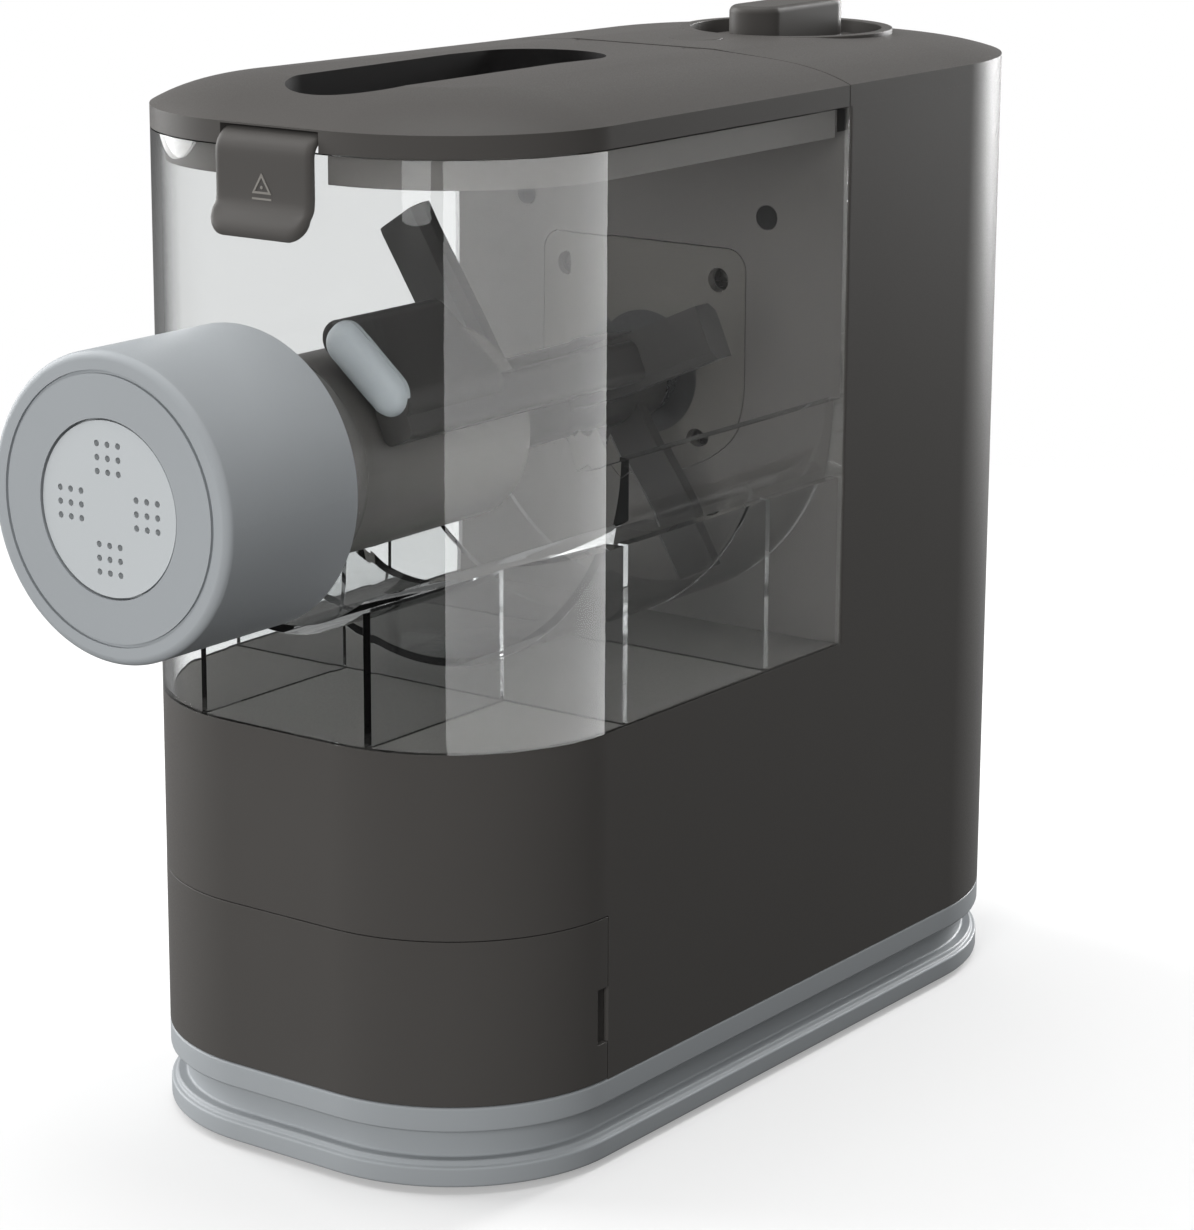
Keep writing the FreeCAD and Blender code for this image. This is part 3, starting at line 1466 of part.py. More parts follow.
def make_dial():
    body = new_body("dial_dish")
    outer = size("dial_radius")
    inner = outer - size("dial_rim")
    top = crown_level(dial_y) + size("dial_proud")
    rim_base = crown_level(dial_y) - size("dial_sink")
    base = dish_floor - size("lid_wall")
    pad(body, "XY_Plane", base, round_at(0, 0, inner), top - base)
    pad(body, "XY_Plane", rim_base, round_at(0, 0, outer), top - rim_base)
    pocket(body, "XY_Plane", top, round_at(0, 0, inner - size("dial_rim")), top - dish_floor)
    pocket(body, "XY_Plane", base, round_at(0, 0, size("knob_shaft") + size("run_gap")), size("lid_wall"), True)
    put(body, at(0, dial_y, 0))
    knob = new_body("control_knob")
    half = size("knob_width") / 2
    long = size("knob_length") / 2
    foot = dish_floor + gap
    tall = size("knob_height")
    pad(knob, "XY_Plane", foot, round_at(0, 0, long + past), size("knob_skirt"))
    ends = half - size("tangent_slack")
    bar_pad = pad(knob, "XY_Plane", foot, plan(half, -long, long, ends, ends), tall)
    shaft_base = base - size("switch_height") / 2
    pad(knob, "XY_Plane", shaft_base, round_at(0, 0, size("knob_shaft")), foot - shaft_base)
    last = pocket(knob, "XY_Plane", foot + tall, round_at(0, long - half, size("dot_radius")), size("dot_depth"))
    del bar_pad
    top_edge = foot + tall

    def outer_edge(edge):
        bounds = edge.BoundBox
        level = abs(bounds.ZMin - top_edge.number) < 1e-4 and abs(bounds.ZMax - top_edge.number) < 1e-4
        return level and not (bounds.XLength < size("dot_radius").number * 2.1 and bounds.YLength < size("dot_radius").number * 2.1)

    round_edges(knob, last, outer_edge, size("knob_round"))
    put(knob, at(0, dial_y, 0))
    side = size("switch_size") / 2
    block = box("switch_block", -side, side, dial_y - side, dial_y + side, base - size("switch_height"), base)
    hole = cylinder("switch_hole", size("knob_shaft") + size("run_gap"), size("switch_height"),
                    at(0, dial_y, base - size("switch_height") / 2 - gap))
    node(cut("switch_solid", block, hole), "selector_switch")


def make_button():
    body = new_body("push_button")
    base = button_cup_base() + size("cup_floor")
    head_base = base + size("spring_length")
    top = crown_level(button_y) + size("button_proud")
    pad(body, "XY_Plane", head_base, round_at(0, 0, size("button_radius")), top - head_base)
    stem_base = button_cup_base() - gap
    pad(body, "XY_Plane", stem_base, round_at(0, 0, size("stem_radius")), head_base - stem_base)
    put(body, at(0, button_y, 0))
    wire = size("spring_wire").number
    coil = (size("button_radius").number + size("stem_radius").number) / 2
    tall = size("spring_length").number - wire * 2
    spring = doc.addObject("Part::Feature", "button_spring")
    spring.Shape = coil_spring(coil, wire / 2, tall, SPRING_TURNS)
    put(spring, at(0, button_y, base + wire))
    node(spring, "button_spring")


SPRING_TURNS = 3
ARCS_PER_TURN = 4


def coil_spring(coil, wire_radius, tall, turns):
    """Sweeps round wire along a coil that is built from quarter-turn arcs."""
    count = turns * ARCS_PER_TURN * 2

    def on_coil(step):
        angle = 2 * math.pi * turns * step / count
        return Vector(coil * math.cos(angle), coil * math.sin(angle), tall * step / count)

    points = [on_coil(step) for step in range(count + 1)]
    turn = ARCS_PER_TURN * 2
    least = min(points[i].distanceToPoint(points[j]) for i in range(count + 1)
                for j in range(i + turn // 2, count + 1))
    print("button_spring least gap to itself", round(least - wire_radius * 2, 2))
    arcs = [Part.Arc(*points[i:i + 3]).toShape() for i in range(0, count, 2)]
    path = Part.Wire(arcs)
    start = path.OrderedEdges[0]
    heading = start.tangentAt(start.FirstParameter)
    section = Part.Wire(Part.makeCircle(wire_radius, points[0], heading))
    return path.makePipeShell([section], True, False)


def make_small_switches():
    """Makes the two sensing switches: under the button, and under the lid's rear edge."""
    side = size("switch_side") / 2
    top = button_cup_base() - gap - size("button_stroke")
    tall = size("switch_tall")
    body = box("release_switch_block", -side, side, button_y - side, button_y + side, top - tall, top)
    arm = box("release_switch_arm", -side, side, wall_face + size("wall_thickness"), button_y - side,
              top - tall, top - tall + size("drawer_wall"))
    node(fuse("release_switch_solid", [body, arm]), "release_switch")


make_plinth()
make_bottom_cover()
make_feet()
make_housing()
make_rear_details()
make_wall_plate()
make_plate_screws()
make_drawer()
make_drawer_bay()
make_spare_discs()
make_hinge_bar()
make_lid()
make_catch()
make_column_cover()
make_chamber()
make_cap()
make_shaping_disc()
make_tube()
make_screw()
make_paddle()
make_shaft()
make_gears()
make_gear_case()
make_motor()
make_board()
make_dial()
make_button()
make_small_switches()
doc.recompute()


def check_and_write():
    """Stops on anything that failed, then writes each piece to its own file."""
    for item in doc.Objects:
        if any(state in FAULTY for state in item.State):
            raise RuntimeError(f"{item.Name} failed to build")
    os.makedirs("parts", exist_ok=True)
    for piece in nodes:
        shape = piece.Shape
        if shape.isNull() or not shape.isValid() or not shape.Solids:
            raise RuntimeError(f"{piece.Label} has no valid shape")
        shape.exportStep(f"parts/{piece.Label}.step")
        print(piece.Label, len(shape.Solids), round(shape.Volume))


check_and_write()
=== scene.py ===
"""Looks of a counter-top pasta maker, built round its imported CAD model, in metres."""

import logging
import math
from dataclasses import dataclass
from enum import Enum
from typing import Iterable, Optional, Sequence

import bmesh
import bpy
from mathutils import Matrix, Vector


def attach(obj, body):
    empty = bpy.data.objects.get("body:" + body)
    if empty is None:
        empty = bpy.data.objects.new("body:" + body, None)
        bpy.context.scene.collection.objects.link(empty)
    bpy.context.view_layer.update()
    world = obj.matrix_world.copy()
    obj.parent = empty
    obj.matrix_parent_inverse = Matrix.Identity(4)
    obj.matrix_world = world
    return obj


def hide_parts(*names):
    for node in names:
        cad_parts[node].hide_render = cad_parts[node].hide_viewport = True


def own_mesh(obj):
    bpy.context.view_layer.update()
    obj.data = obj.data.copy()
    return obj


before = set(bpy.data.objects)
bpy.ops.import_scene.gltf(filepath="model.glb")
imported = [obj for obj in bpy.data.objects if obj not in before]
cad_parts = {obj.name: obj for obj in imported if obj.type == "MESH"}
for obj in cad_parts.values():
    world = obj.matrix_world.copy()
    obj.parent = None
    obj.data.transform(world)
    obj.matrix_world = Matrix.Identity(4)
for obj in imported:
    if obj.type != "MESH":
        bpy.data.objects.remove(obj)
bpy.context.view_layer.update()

LOG = logging.getLogger("pasta_maker")

# One millimetre, in metres
MM = 0.001
# The photograph's size in pixels, and the width of the camera's sensor in millimetres
PHOTO_WIDTH = 1194
PHOTO_HEIGHT = 1230
SENSOR = 36.0
# The chamber's front wall and the drive's axis in the row frame, in metres
FRONT_Y = -0.11185
AXIS_Z = 0.1866
# Points of a mesh that lie nearer than this are one point, in metres
MERGE = 1e-6
# Neighbouring faces that lean less than this are one flat face
FLAT_DEGREES = 0.5
# Scale of the slow change of tone that every skin has, per metre
BROAD_PER_METRE = 18.0
# Lathe rings are drawn this much coarser than the grain, so that they show in the render
RING_SPREAD = 10
# Share of the white surroundings that a ray still meets once it was mirrored
MIRRORED = 0.14
WHITE = "#ffffff"

Point2 = tuple[float, float]
Point3 = tuple[float, float, float]
Socket = bpy.types.NodeSocket


def linear(code: str) -> tuple[float, float, float, float]:
    """Turns an sRGB hex colour to the linear colour that a shader takes.

    Args:
        code: six hex digits with a leading hash.

    Returns:
        Red, green, blue and an alpha of one.
    """
    parts = [int(code[i : i + 2], 16) / 255 for i in (1, 3, 5)]
    turned = [p / 12.92 if p <= 0.04045 else ((p + 0.055) / 1.055) ** 2.4 for p in parts]
    return (turned[0], turned[1], turned[2], 1.0)


class Tree:
    """A node tree under construction, with one way to add a node."""

    def __init__(self, tree: bpy.types.NodeTree) -> None:
        """Takes a node tree and empties it."""
        self.tree = tree
        self.tree.nodes.clear()

    @classmethod
    def of(cls, owner: bpy.types.ID) -> "Tree":
        """Takes the node tree of a material or a world.

        Args:
            owner: the material or world.

        Returns:
            Its tree, emptied.
        """
        owner.use_nodes = True
        return cls(owner.node_tree)

    def add(self, kind: str, settings: Optional[dict] = None, **inputs: object) -> bpy.types.Node:
        """Adds a node with its settings and links.

        Args:
            kind: the node's type name.
            settings: properties of the node itself.
            inputs: socket names, with _ for a space, and for each of them a value, an output
                socket or a list of output sockets.

        Returns:
            The new node.
        """
        node = self.tree.nodes.new(kind)
        for name, value in (settings or {}).items():
            setattr(node, name, value)
        for name, value in inputs.items():
            socket = self.find(node, name)
            for item in value if isinstance(value, list) else [value]:
                if isinstance(item, Socket):
                    self.tree.links.new(item, socket)
                else:
                    socket.default_value = item
        return node

    @staticmethod
    def find(node: bpy.types.Node, name: str) -> Socket:
        """Finds an input by its name, or by its number when the name is like in_1."""
        if name.startswith("in_"):
            return node.inputs[int(name[3:])]
        return node.inputs[name.replace("_", " ")]


class Grain(Enum):
    """How a moulded or machined surface was finished."""

    SPARK_ERODED = "fine even pits left by a spark-eroded mould"
    POLISHED = "mirror-smooth mould, with only slow waves"
    TURNED = "fine rings left by a lathe"
    CAST = "coarse and soft"


@dataclass(frozen=True)
class Finish:
    """One real material and the way its surface was made.

    Real spark pits are near 0.05 mm. They are drawn at 0.4 mm, as coarse as they need to show.
    """

    name: str
    colour: str
    fleck: str
    roughness: float
    grain: Grain = Grain.SPARK_ERODED
    grain_mm: float = 0.4
    depth_mm: float = 0.004
    metallic: float = 0.0
    ior: float = 1.5
    specular: float = 0.5
    roughness_span: float = 0.06

    def make(self) -> bpy.types.Material:
        """Builds the procedural material.

        Returns:
            A material that reads Object coordinates only.
        """
        material = bpy.data.materials.new(self.name)
        tree = Tree.of(material)
        metres = tree.add("ShaderNodeTexCoord").outputs["Object"]
        fine = tree.add(
            "ShaderNodeTexNoise",
            Vector=metres,
            Scale=1.0 / (self.grain_mm * MM),
            Detail=2.0,
            Roughness=0.55,
        )
        broad = tree.add(
            "ShaderNodeTexNoise", Vector=metres, Scale=BROAD_PER_METRE, Detail=3.0, Roughness=0.6
        )
        height = self.relief(tree, metres, fine, broad)
        colour = tree.add(
            "ShaderNodeMix",
            {"data_type": "RGBA"},
            in_0=broad.outputs["Fac"],
            in_6=linear(self.colour),
            in_7=linear(self.fleck),
        )
        rough = tree.add(
            "ShaderNodeMapRange",
            Value=fine.outputs["Fac"],
            From_Min=0.3,
            From_Max=0.7,
            To_Min=self.roughness - self.roughness_span,
            To_Max=self.roughness + self.roughness_span,
        )
        bump = tree.add("ShaderNodeBump", Strength=1.0, Distance=self.depth_mm * MM, Height=height)
        surface = tree.add(
            "ShaderNodeBsdfPrincipled",
            Base_Color=colour.outputs["Result"],
            Roughness=rough.outputs["Result"],
            Metallic=self.metallic,
            IOR=self.ior,
            Specular_IOR_Level=self.specular,
            Normal=bump.outputs["Normal"],
        )
        tree.add("ShaderNodeOutputMaterial", Surface=surface.outputs["BSDF"])
        return material

    def relief(
        self, tree: Tree, metres: Socket, fine: bpy.types.Node, broad: bpy.types.Node
    ) -> Socket:
        """Picks the height that the grain gives to the bump.

        Args:
            tree: the material's tree.
            metres: Object coordinates.
            fine: the noise of the grain.
            broad: the noise of the slow change.

        Returns:
            The height.
        """
        if self.grain is Grain.POLISHED:
            return broad.outputs["Fac"]
        if self.grain is Grain.TURNED:
            rings = tree.add(
                "ShaderNodeTexWave",
                {"wave_type": "BANDS", "bands_direction": "Y"},
                Vector=metres,
                Scale=1.0 / (self.grain_mm * MM) / RING_SPREAD,
                Distortion=0.4,
                Detail=1.0,
            )
            return rings.outputs["Fac"]
        return fine.outputs["Fac"]


@dataclass(frozen=True)
class ClearFinish:
    """Clear moulded plastic that lamps shine through."""

    name: str
    tint: str
    # The grey painted as shade where a wall is seen edge-on
    edge: str
    roughness: float
    ior: float
    wave_mm: float
    depth_mm: float

    def make(self) -> bpy.types.Material:
        """Builds clear plastic with slow mould waves and painted shade that greys the walls where
        they are seen edge-on.

        Returns:
            A material that lets the lamps' light through, so that its shadow stays pale.
        """
        material = bpy.data.materials.new(self.name)
        tree = Tree.of(material)
        waves = tree.add(
            "ShaderNodeTexNoise",
            Vector=tree.add("ShaderNodeTexCoord").outputs["Object"],
            Scale=1.0 / (self.wave_mm * MM),
            Detail=1.0,
        )
        bump = tree.add(
            "ShaderNodeBump",
            Strength=1.0,
            Distance=self.depth_mm * MM,
            Height=waves.outputs["Fac"],
        )
        # Painted shade: walls seen edge-on turn from the tint to the edge grey
        slant = tree.add("ShaderNodeLayerWeight", Blend=0.5)
        edge_on_shade = tree.add(
            "ShaderNodeMapRange",
            Value=slant.outputs["Facing"],
            From_Min=0.55,
            From_Max=0.95,
        )
        colour = tree.add(
            "ShaderNodeMix",
            {"data_type": "RGBA"},
            in_0=edge_on_shade.outputs["Result"],
            in_6=linear(self.tint),
            in_7=linear(self.edge),
        )
        glass = tree.add(
            "ShaderNodeBsdfPrincipled",
            Base_Color=colour.outputs["Result"],
            Roughness=self.roughness,
            IOR=self.ior,
            Transmission_Weight=1.0,
            Normal=bump.outputs["Normal"],
        )
        path = tree.add("ShaderNodeLightPath")
        through = tree.add("ShaderNodeBsdfTransparent", Color=linear(self.tint))
        mix = tree.add(
            "ShaderNodeMixShader",
            Fac=path.outputs["Is Shadow Ray"],
            in_1=glass.outputs["BSDF"],
            in_2=through.outputs["BSDF"],
        )
        tree.add("ShaderNodeOutputMaterial", Surface=mix.outputs["Shader"])
        return material


AnyFinish = Finish | ClearFinish

# ABS with a spark-eroded satin skin: dark warm grey that lifts to soft highlights on its corners
BODY = Finish("satin_abs_charcoal", "#4a4846", "#4d4b49", 0.44, specular=0.12)
# The same skin in a cool mid grey: the quiet pale band of the foot and the big pale cap
BASE = Finish("satin_abs_cool_grey", "#9b9fa2", "#9fa3a6", 0.42, specular=0.12)
# Satin acetal, a shade paler than the cap, so that the disc reads as a part of its own
DISC = Finish("satin_pom_pale_grey", "#b9bdbf", "#bdc1c3", 0.42, specular=0.2)
# Glossy polycarbonate, water-clear, with painted shade that greys its walls where they are seen
# edge-on, and slow waves from a polished mould
CLEAR = ClearFinish("clear_polycarbonate", "#f0f1f1", "#6e6f6f", 0.0, 1.26, 60.0, 0.01)
# Satin acetal of the paddle: near black, with a narrow sheen along its arms
PADDLE = Finish("satin_pom_grey", "#2c2b2a", "#2f2e2d", 0.38, specular=0.2)
# Soft elastomer: pale and dull, the lightest thing inside the chamber
TIP = Finish("soft_pale_elastomer", "#75797b", "#797d7f", 0.55, specular=0.15)
# Satin acetal of the tube and screw: as dark as the body, with a clearer sheen
TUBE = Finish("satin_pom_mid_grey", "#4d4b49", "#504e4c", 0.34, specular=0.25)
# Satin acetal of the spare discs: light and a little glossy
PALE = Finish("satin_pom_light", "#a9adaf", "#aeb2b4", 0.34)
# ABS from a rough mould: flat black that swallows light in slots and hollows, for the dark inner
# parts, and painted as shade on the lid's pouring slot walls and underside
INNER_BLACK_AND_SHADE = Finish("matte_abs_black_and_painted_shade", "#141313", "#171616", 0.55, specular=0.1)
# The body's skin on the wall behind the chamber, a trace duller
WALL = Finish("satin_abs_wall", "#4b4946", "#4e4c49", 0.42, specular=0.1)
# Grey print: just light enough to be found on the dark catch
MARK = Finish("printed_grey_mark", "#77746f", "#7a7772", 0.5)
# Moulded rubber: dull near black with a coarse, soft grain
RUBBER = Finish("nitrile_rubber", "#191919", "#1c1c1c", 0.62, grain=Grain.CAST, grain_mm=1.2)
# Ground steel: bright, with rings that stretch its highlights
STEEL = Finish(
    "ground_steel", "#b4b5b6", "#aeafb0", 0.26, grain=Grain.TURNED, grain_mm=0.3, metallic=1.0
)
# Steel with a black skin: dark heads with small hard glints
BLACKED = Finish("blackened_steel", "#3a3937", "#3d3c3a", 0.34, metallic=1.0)
# Natural acetal: warm white teeth with a slight gloss
GEAR = Finish("moulded_acetal", "#d9d4c4", "#d4cfbf", 0.32)
# Solder mask on a circuit board: deep green with a smooth gloss
BOARD = Finish("solder_mask_green", "#1c4a2c", "#1f5031", 0.3, grain=Grain.POLISHED)


class Workshop:
    """Keeps each finish's material, and turns meshes to finished pieces."""

    def __init__(self) -> None:
        """Starts with no material made."""
        self.made: dict[str, bpy.types.Material] = {}

    def material(self, finish: AnyFinish) -> bpy.types.Material:
        """Gives the finish's material, made on first use."""
        if finish.name not in self.made:
            self.made[finish.name] = finish.make()
        return self.made[finish.name]

    def paint_node(self, name: str, finish: AnyFinish) -> None:
        """Gives a CAD node that is shown as it is its material.

        Args:
            name: the node's name.
            finish: its finish.
        """
        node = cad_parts[name]
        if not node.material_slots:
            node.data.materials.append(self.material(finish))
        for slot in node.material_slots:
            slot.material = self.material(finish)
        LOG.info("dressed node %s", name)

    def finish_piece(
        self,
        thing: bpy.types.Object,
        body: str,
        slot: str,
        finish: AnyFinish,
        replaced: Sequence[str],
    ) -> bpy.types.Object:
        """Paints a piece, joins it to its body and hides the CAD nodes that it stands for.

        Args:
            thing: the piece.
            body: the body that carries it.
            slot: not used.
            finish: its finish.
            replaced: the CAD nodes that it stands for.

        Returns:
            The piece.
        """
        thing.data.materials.clear()
        thing.data.materials.append(self.material(finish))
        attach(thing, body)
        if replaced:
            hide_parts(*replaced)
        LOG.info("made %s with %d faces", thing.name, len(thing.data.polygons))
        return thing


def new_object(name: str, mesh: bpy.types.Mesh) -> bpy.types.Object:
    """Links a mesh to the scene as an object at the origin."""
    thing = bpy.data.objects.new(name, mesh)
    bpy.context.scene.collection.objects.link(thing)
    return thing


def object_from(name: str, shape: bmesh.types.BMesh) -> bpy.types.Object:
    """Turns a finished shape to an object with its normals outward.

    Args:
        name: the new piece's name.
        shape: the shape, which is freed.

    Returns:
        The new piece.
    """
    bmesh.ops.recalc_face_normals(shape, faces=shape.faces)
    mesh = bpy.data.meshes.new(name)
    shape.to_mesh(mesh)
    shape.free()
    return new_object(name, mesh)


def smooth_by_angle(mesh: bpy.types.Mesh, degrees: float) -> None:
    """Shades faces smooth and keeps edges sharper than an angle.

    Args:
        mesh: the mesh to shade.
        degrees: the least angle of an edge that stays sharp.
    """
    mesh.shade_smooth()
    mesh.set_sharp_from_angle(angle=math.radians(degrees))


def baked(thing: bpy.types.Object) -> bpy.types.Object:
    """Applies a piece's modifiers and gives it the plain mesh."""
    bpy.context.view_layer.update()
    evaluated = thing.evaluated_get(bpy.context.evaluated_depsgraph_get())
    mesh = bpy.data.meshes.new_from_object(evaluated)
    thing.modifiers.clear()
    thing.data = mesh
    return thing


def softened(
    name: str, node: str, width_mm: float, segments: int = 3, angle: float = 28.0
) -> bpy.types.Object:
    """Copies a CAD node and rounds its sharp edges as a mould does.

    Args:
        name: the new piece's name.
        node: the CAD node.
        width_mm: how far each round reaches.
        segments: faces across a round.
        angle: the least angle of an edge that is rounded, in degrees.

    Returns:
        The new piece, with its modifiers applied.
    """
    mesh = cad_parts[node].data.copy()
    shape = bmesh.new()
    shape.from_mesh(mesh)
    bmesh.ops.remove_doubles(shape, verts=shape.verts, dist=MERGE)
    bmesh.ops.dissolve_limit(
        shape,
        angle_limit=math.radians(FLAT_DEGREES),
        use_dissolve_boundaries=False,
        verts=shape.verts,
        edges=shape.edges,
    )
    shape.to_mesh(mesh)
    shape.free()
    thing = new_object(name, mesh)
    bevel = thing.modifiers.new("round", "BEVEL")
    bevel.width = width_mm * MM
    bevel.segments = segments
    bevel.limit_method = "ANGLE"
    bevel.angle_limit = math.radians(angle)
    bevel.use_clamp_overlap = True
    bevel.miter_outer = "MITER_ARC"
    bevel.harden_normals = True
    mesh.shade_smooth()
    weight = thing.modifiers.new("even", "WEIGHTED_NORMAL")
    weight.keep_sharp = True
    return baked(thing)


class Camera:
    """The photograph's viewpoint in the row frame: metres, radians and pixels."""

    focal_px = 3762.8
    yaw = 0.644
    pitch = 0.239
    roll = 0.001
    eye: Point3 = (0.604, -0.80685, 0.3877)
    centre_px: Point2 = (537.0, 555.0)

    def make(self) -> None:
        """Makes the camera and hands it to the scene."""
        data = bpy.data.cameras.new("photo_camera")
        data.sensor_width = SENSOR
        data.lens = self.focal_px / PHOTO_HEIGHT * SENSOR
        data.shift_x = (PHOTO_WIDTH / 2 - self.centre_px[0]) / PHOTO_HEIGHT
        data.shift_y = (self.centre_px[1] - PHOTO_HEIGHT / 2) / PHOTO_HEIGHT
        camera = bpy.data.objects.new("photo_camera", data)
        level = math.cos(self.pitch)
        ahead = Vector(
            (-math.sin(self.yaw) * level, math.cos(self.yaw) * level, -math.sin(self.pitch))
        )
        across = Vector((math.cos(self.yaw), math.sin(self.yaw), 0.0))
        above = across.cross(ahead)
        turn = Matrix((across, above, -ahead)).transposed().to_4x4()
        roll = Matrix.Rotation(self.roll, 4, "Z")
        camera.matrix_world = Matrix.Translation(self.eye) @ turn @ roll
        bpy.context.scene.collection.objects.link(camera)
        bpy.context.scene.camera = camera


@dataclass(frozen=True)
class SoftLamp:
    """One rectangular studio lamp, aimed at a point."""

    name: str
    place: Point3
    aim: Point3
    wide: float
    tall: float
    watts: float
    only_mirrored: bool = False
    never_mirrored: bool = False

    def make(self) -> bpy.types.Object:
        """Makes the lamp.

        Returns:
            The lamp; one that is only mirrored shows on glossy surfaces and lights nothing else,
            and one that is never mirrored lights only dull surfaces.
        """
        data = bpy.data.lights.new(self.name, "AREA")
        data.shape = "RECTANGLE"
        data.size = self.wide
        data.size_y = self.tall
        data.energy = self.watts
        lamp = bpy.data.objects.new(self.name, data)
        look = Vector(self.aim) - Vector(self.place)
        turn = look.to_track_quat("-Z", "Y").to_matrix().to_4x4()
        lamp.matrix_world = Matrix.Translation(self.place) @ turn
        bpy.context.scene.collection.objects.link(lamp)
        if self.only_mirrored:
            lamp.visible_camera = False
            lamp.visible_diffuse = False
            lamp.visible_transmission = False
        if self.never_mirrored:
            lamp.visible_glossy = False
        return lamp


class Studio:
    """White floor, white surroundings and soft lamps."""

    aim: Point3 = (0.0, 0.0, 0.14)
    fill = 0.22
    floor_half = 3.0
    floor_colour = "#c6c6c6"
    bounce_colour = "#4a4a4a"
    near_glow = 0.32
    fade_from = 0.35
    fade_to = 0.8

    def make(self) -> None:
        """Makes the floor, the surroundings and the lamps."""
        self.make_floor()
        self.make_surroundings()
        for lamp in self.lamps():
            lamp.make()
        self.card = self.corner_card().make()
        bpy.context.scene.view_settings.view_transform = "Standard"

    def lamps(self) -> list[SoftLamp]:
        """Lists the lamps.

        Returns:
            A tall one at the left, a broad one above, a low one in front that nothing mirrors,
            and a narrow one behind.
        """
        return [
            SoftLamp("left_box", (-1.7, -0.32, 0.75), self.aim, wide=1.5, tall=1.6, watts=50.0),
            SoftLamp("top_box", (0.0, 0.1, 1.5), self.aim, wide=1.2, tall=1.2, watts=15.0),
            SoftLamp(
                "front_box",
                (0.5, -1.6, 0.4),
                self.aim,
                wide=0.5,
                tall=0.9,
                watts=19.0,
                never_mirrored=True,
            ),
            SoftLamp("rear_strip", (0.16, 1.6, 0.45), self.aim, wide=0.3, tall=1.0, watts=34.0),
        ]

    def corner_card(self) -> SoftLamp:
        """Gives the card that the chamber's front corner mirrors as a milky band."""
        return SoftLamp(
            "corner_card",
            (0.27, -0.13, 0.24),
            (0.0, -0.13, 0.24),
            wide=0.62,
            tall=0.5,
            watts=11.0,
            only_mirrored=True,
        )

    def show_card_to(self, pieces: Sequence[bpy.types.Object]) -> None:
        """Lets only some pieces mirror the card."""
        seers = bpy.data.collections.new("card_seers")
        for piece in pieces:
            seers.objects.link(piece)
        self.card.light_linking.receiver_collection = seers

    def make_floor(self) -> None:
        """Makes the pale floor, which is white to the camera and keeps the shadow."""
        half = self.floor_half
        corners = [(-half, -half, 0), (half, -half, 0), (half, half, 0), (-half, half, 0)]
        mesh = bpy.data.meshes.new("floor")
        mesh.from_pydata(corners, [], [(0, 1, 2, 3)])
        floor = new_object("floor", mesh)
        material = bpy.data.materials.new("pale_floor")
        tree = Tree.of(material)
        path = tree.add("ShaderNodeLightPath")
        metres = tree.add("ShaderNodeTexCoord").outputs["Object"]
        away = tree.add("ShaderNodeVectorMath", {"operation": "LENGTH"}, in_0=metres)
        lift = tree.add(
            "ShaderNodeMapRange",
            Value=away.outputs["Value"],
            From_Min=self.fade_from,
            From_Max=self.fade_to,
        )
        plain = tree.add("ShaderNodeBsdfDiffuse", Color=linear(self.floor_colour))
        bounce = tree.add("ShaderNodeBsdfDiffuse", Color=linear(self.bounce_colour))
        glow = tree.add("ShaderNodeEmission", Color=linear(WHITE), Strength=self.near_glow)
        lit = tree.add(
            "ShaderNodeAddShader", in_0=plain.outputs["BSDF"], in_1=glow.outputs["Emission"]
        )
        white = tree.add("ShaderNodeEmission", Color=linear(WHITE), Strength=1.0)
        faded = tree.add(
            "ShaderNodeMixShader",
            Fac=lift.outputs["Result"],
            in_1=lit.outputs["Shader"],
            in_2=white.outputs["Emission"],
        )
        mix = tree.add(
            "ShaderNodeMixShader",
            Fac=seen_directly(tree, path),
            in_1=bounce.outputs["BSDF"],
            in_2=faded.outputs["Shader"],
        )
        tree.add("ShaderNodeOutputMaterial", Surface=mix.outputs["Shader"])
        floor.data.materials.append(material)

    def make_surroundings(self) -> None:
        """Makes a world that is white where it is seen and plain where it lights."""
        world = bpy.data.worlds.new("studio")
        bpy.context.scene.world = world
        tree = Tree.of(world)
        path = tree.add("ShaderNodeLightPath")
        light = tree.add("ShaderNodeBackground", Color=linear(WHITE), Strength=self.fill)
        white = tree.add("ShaderNodeBackground", Color=linear(WHITE), Strength=1.0)
        mix = tree.add(
            "ShaderNodeMixShader",
            Fac=seen_directly(tree, path),
            in_1=light.outputs["Background"],
            in_2=white.outputs["Background"],
        )
        tree.add("ShaderNodeOutputWorld", Surface=mix.outputs["Shader"])


def seen_directly(tree: Tree, path: bpy.types.Node) -> Socket:
    """Tells how much of the white surroundings a ray meets.

    Args:
        tree: the tree that asks.
        path: its light path node.

    Returns:
        One for rays from the camera and through glass, the mirrored share for rays that were
        mirrored on their way, and nothing for rays that light.
    """
    glassy = tree.add(
        "ShaderNodeMath",
        {"operation": "MAXIMUM"},
        in_0=path.outputs["Is Glossy Ray"],
        in_1=path.outputs["Is Transmission Ray"],
    )
    sharp = tree.add(
        "ShaderNodeMath",
        {"operation": "MAXIMUM"},
        in_0=path.outputs["Is Camera Ray"],
        in_1=glassy.outputs[0],
    )
    mirrored = tree.add(
        "ShaderNodeMath", {"operation": "MINIMUM"}, in_0=path.outputs["Glossy Depth"], in_1=1.0
    )
    share = tree.add(
        "ShaderNodeMapRange", Value=mirrored.outputs[0], To_Min=1.0, To_Max=MIRRORED
    )
    seen = tree.add(
        "ShaderNodeMath",
        {"operation": "MULTIPLY"},
        in_0=sharp.outputs[0],
        in_1=share.outputs["Result"],
    )
    return seen.outputs[0]


def place(x: float, y: float, z: float) -> Vector:
    """Turns millimetres to a point in the row frame.

    Args:
        x: how far right of the middle.
        y: how far behind the chamber's front wall.
        z: how far above the floor.

    Returns:
        The point, in metres.
    """
    return Vector((x * MM, FRONT_Y + y * MM, z * MM))


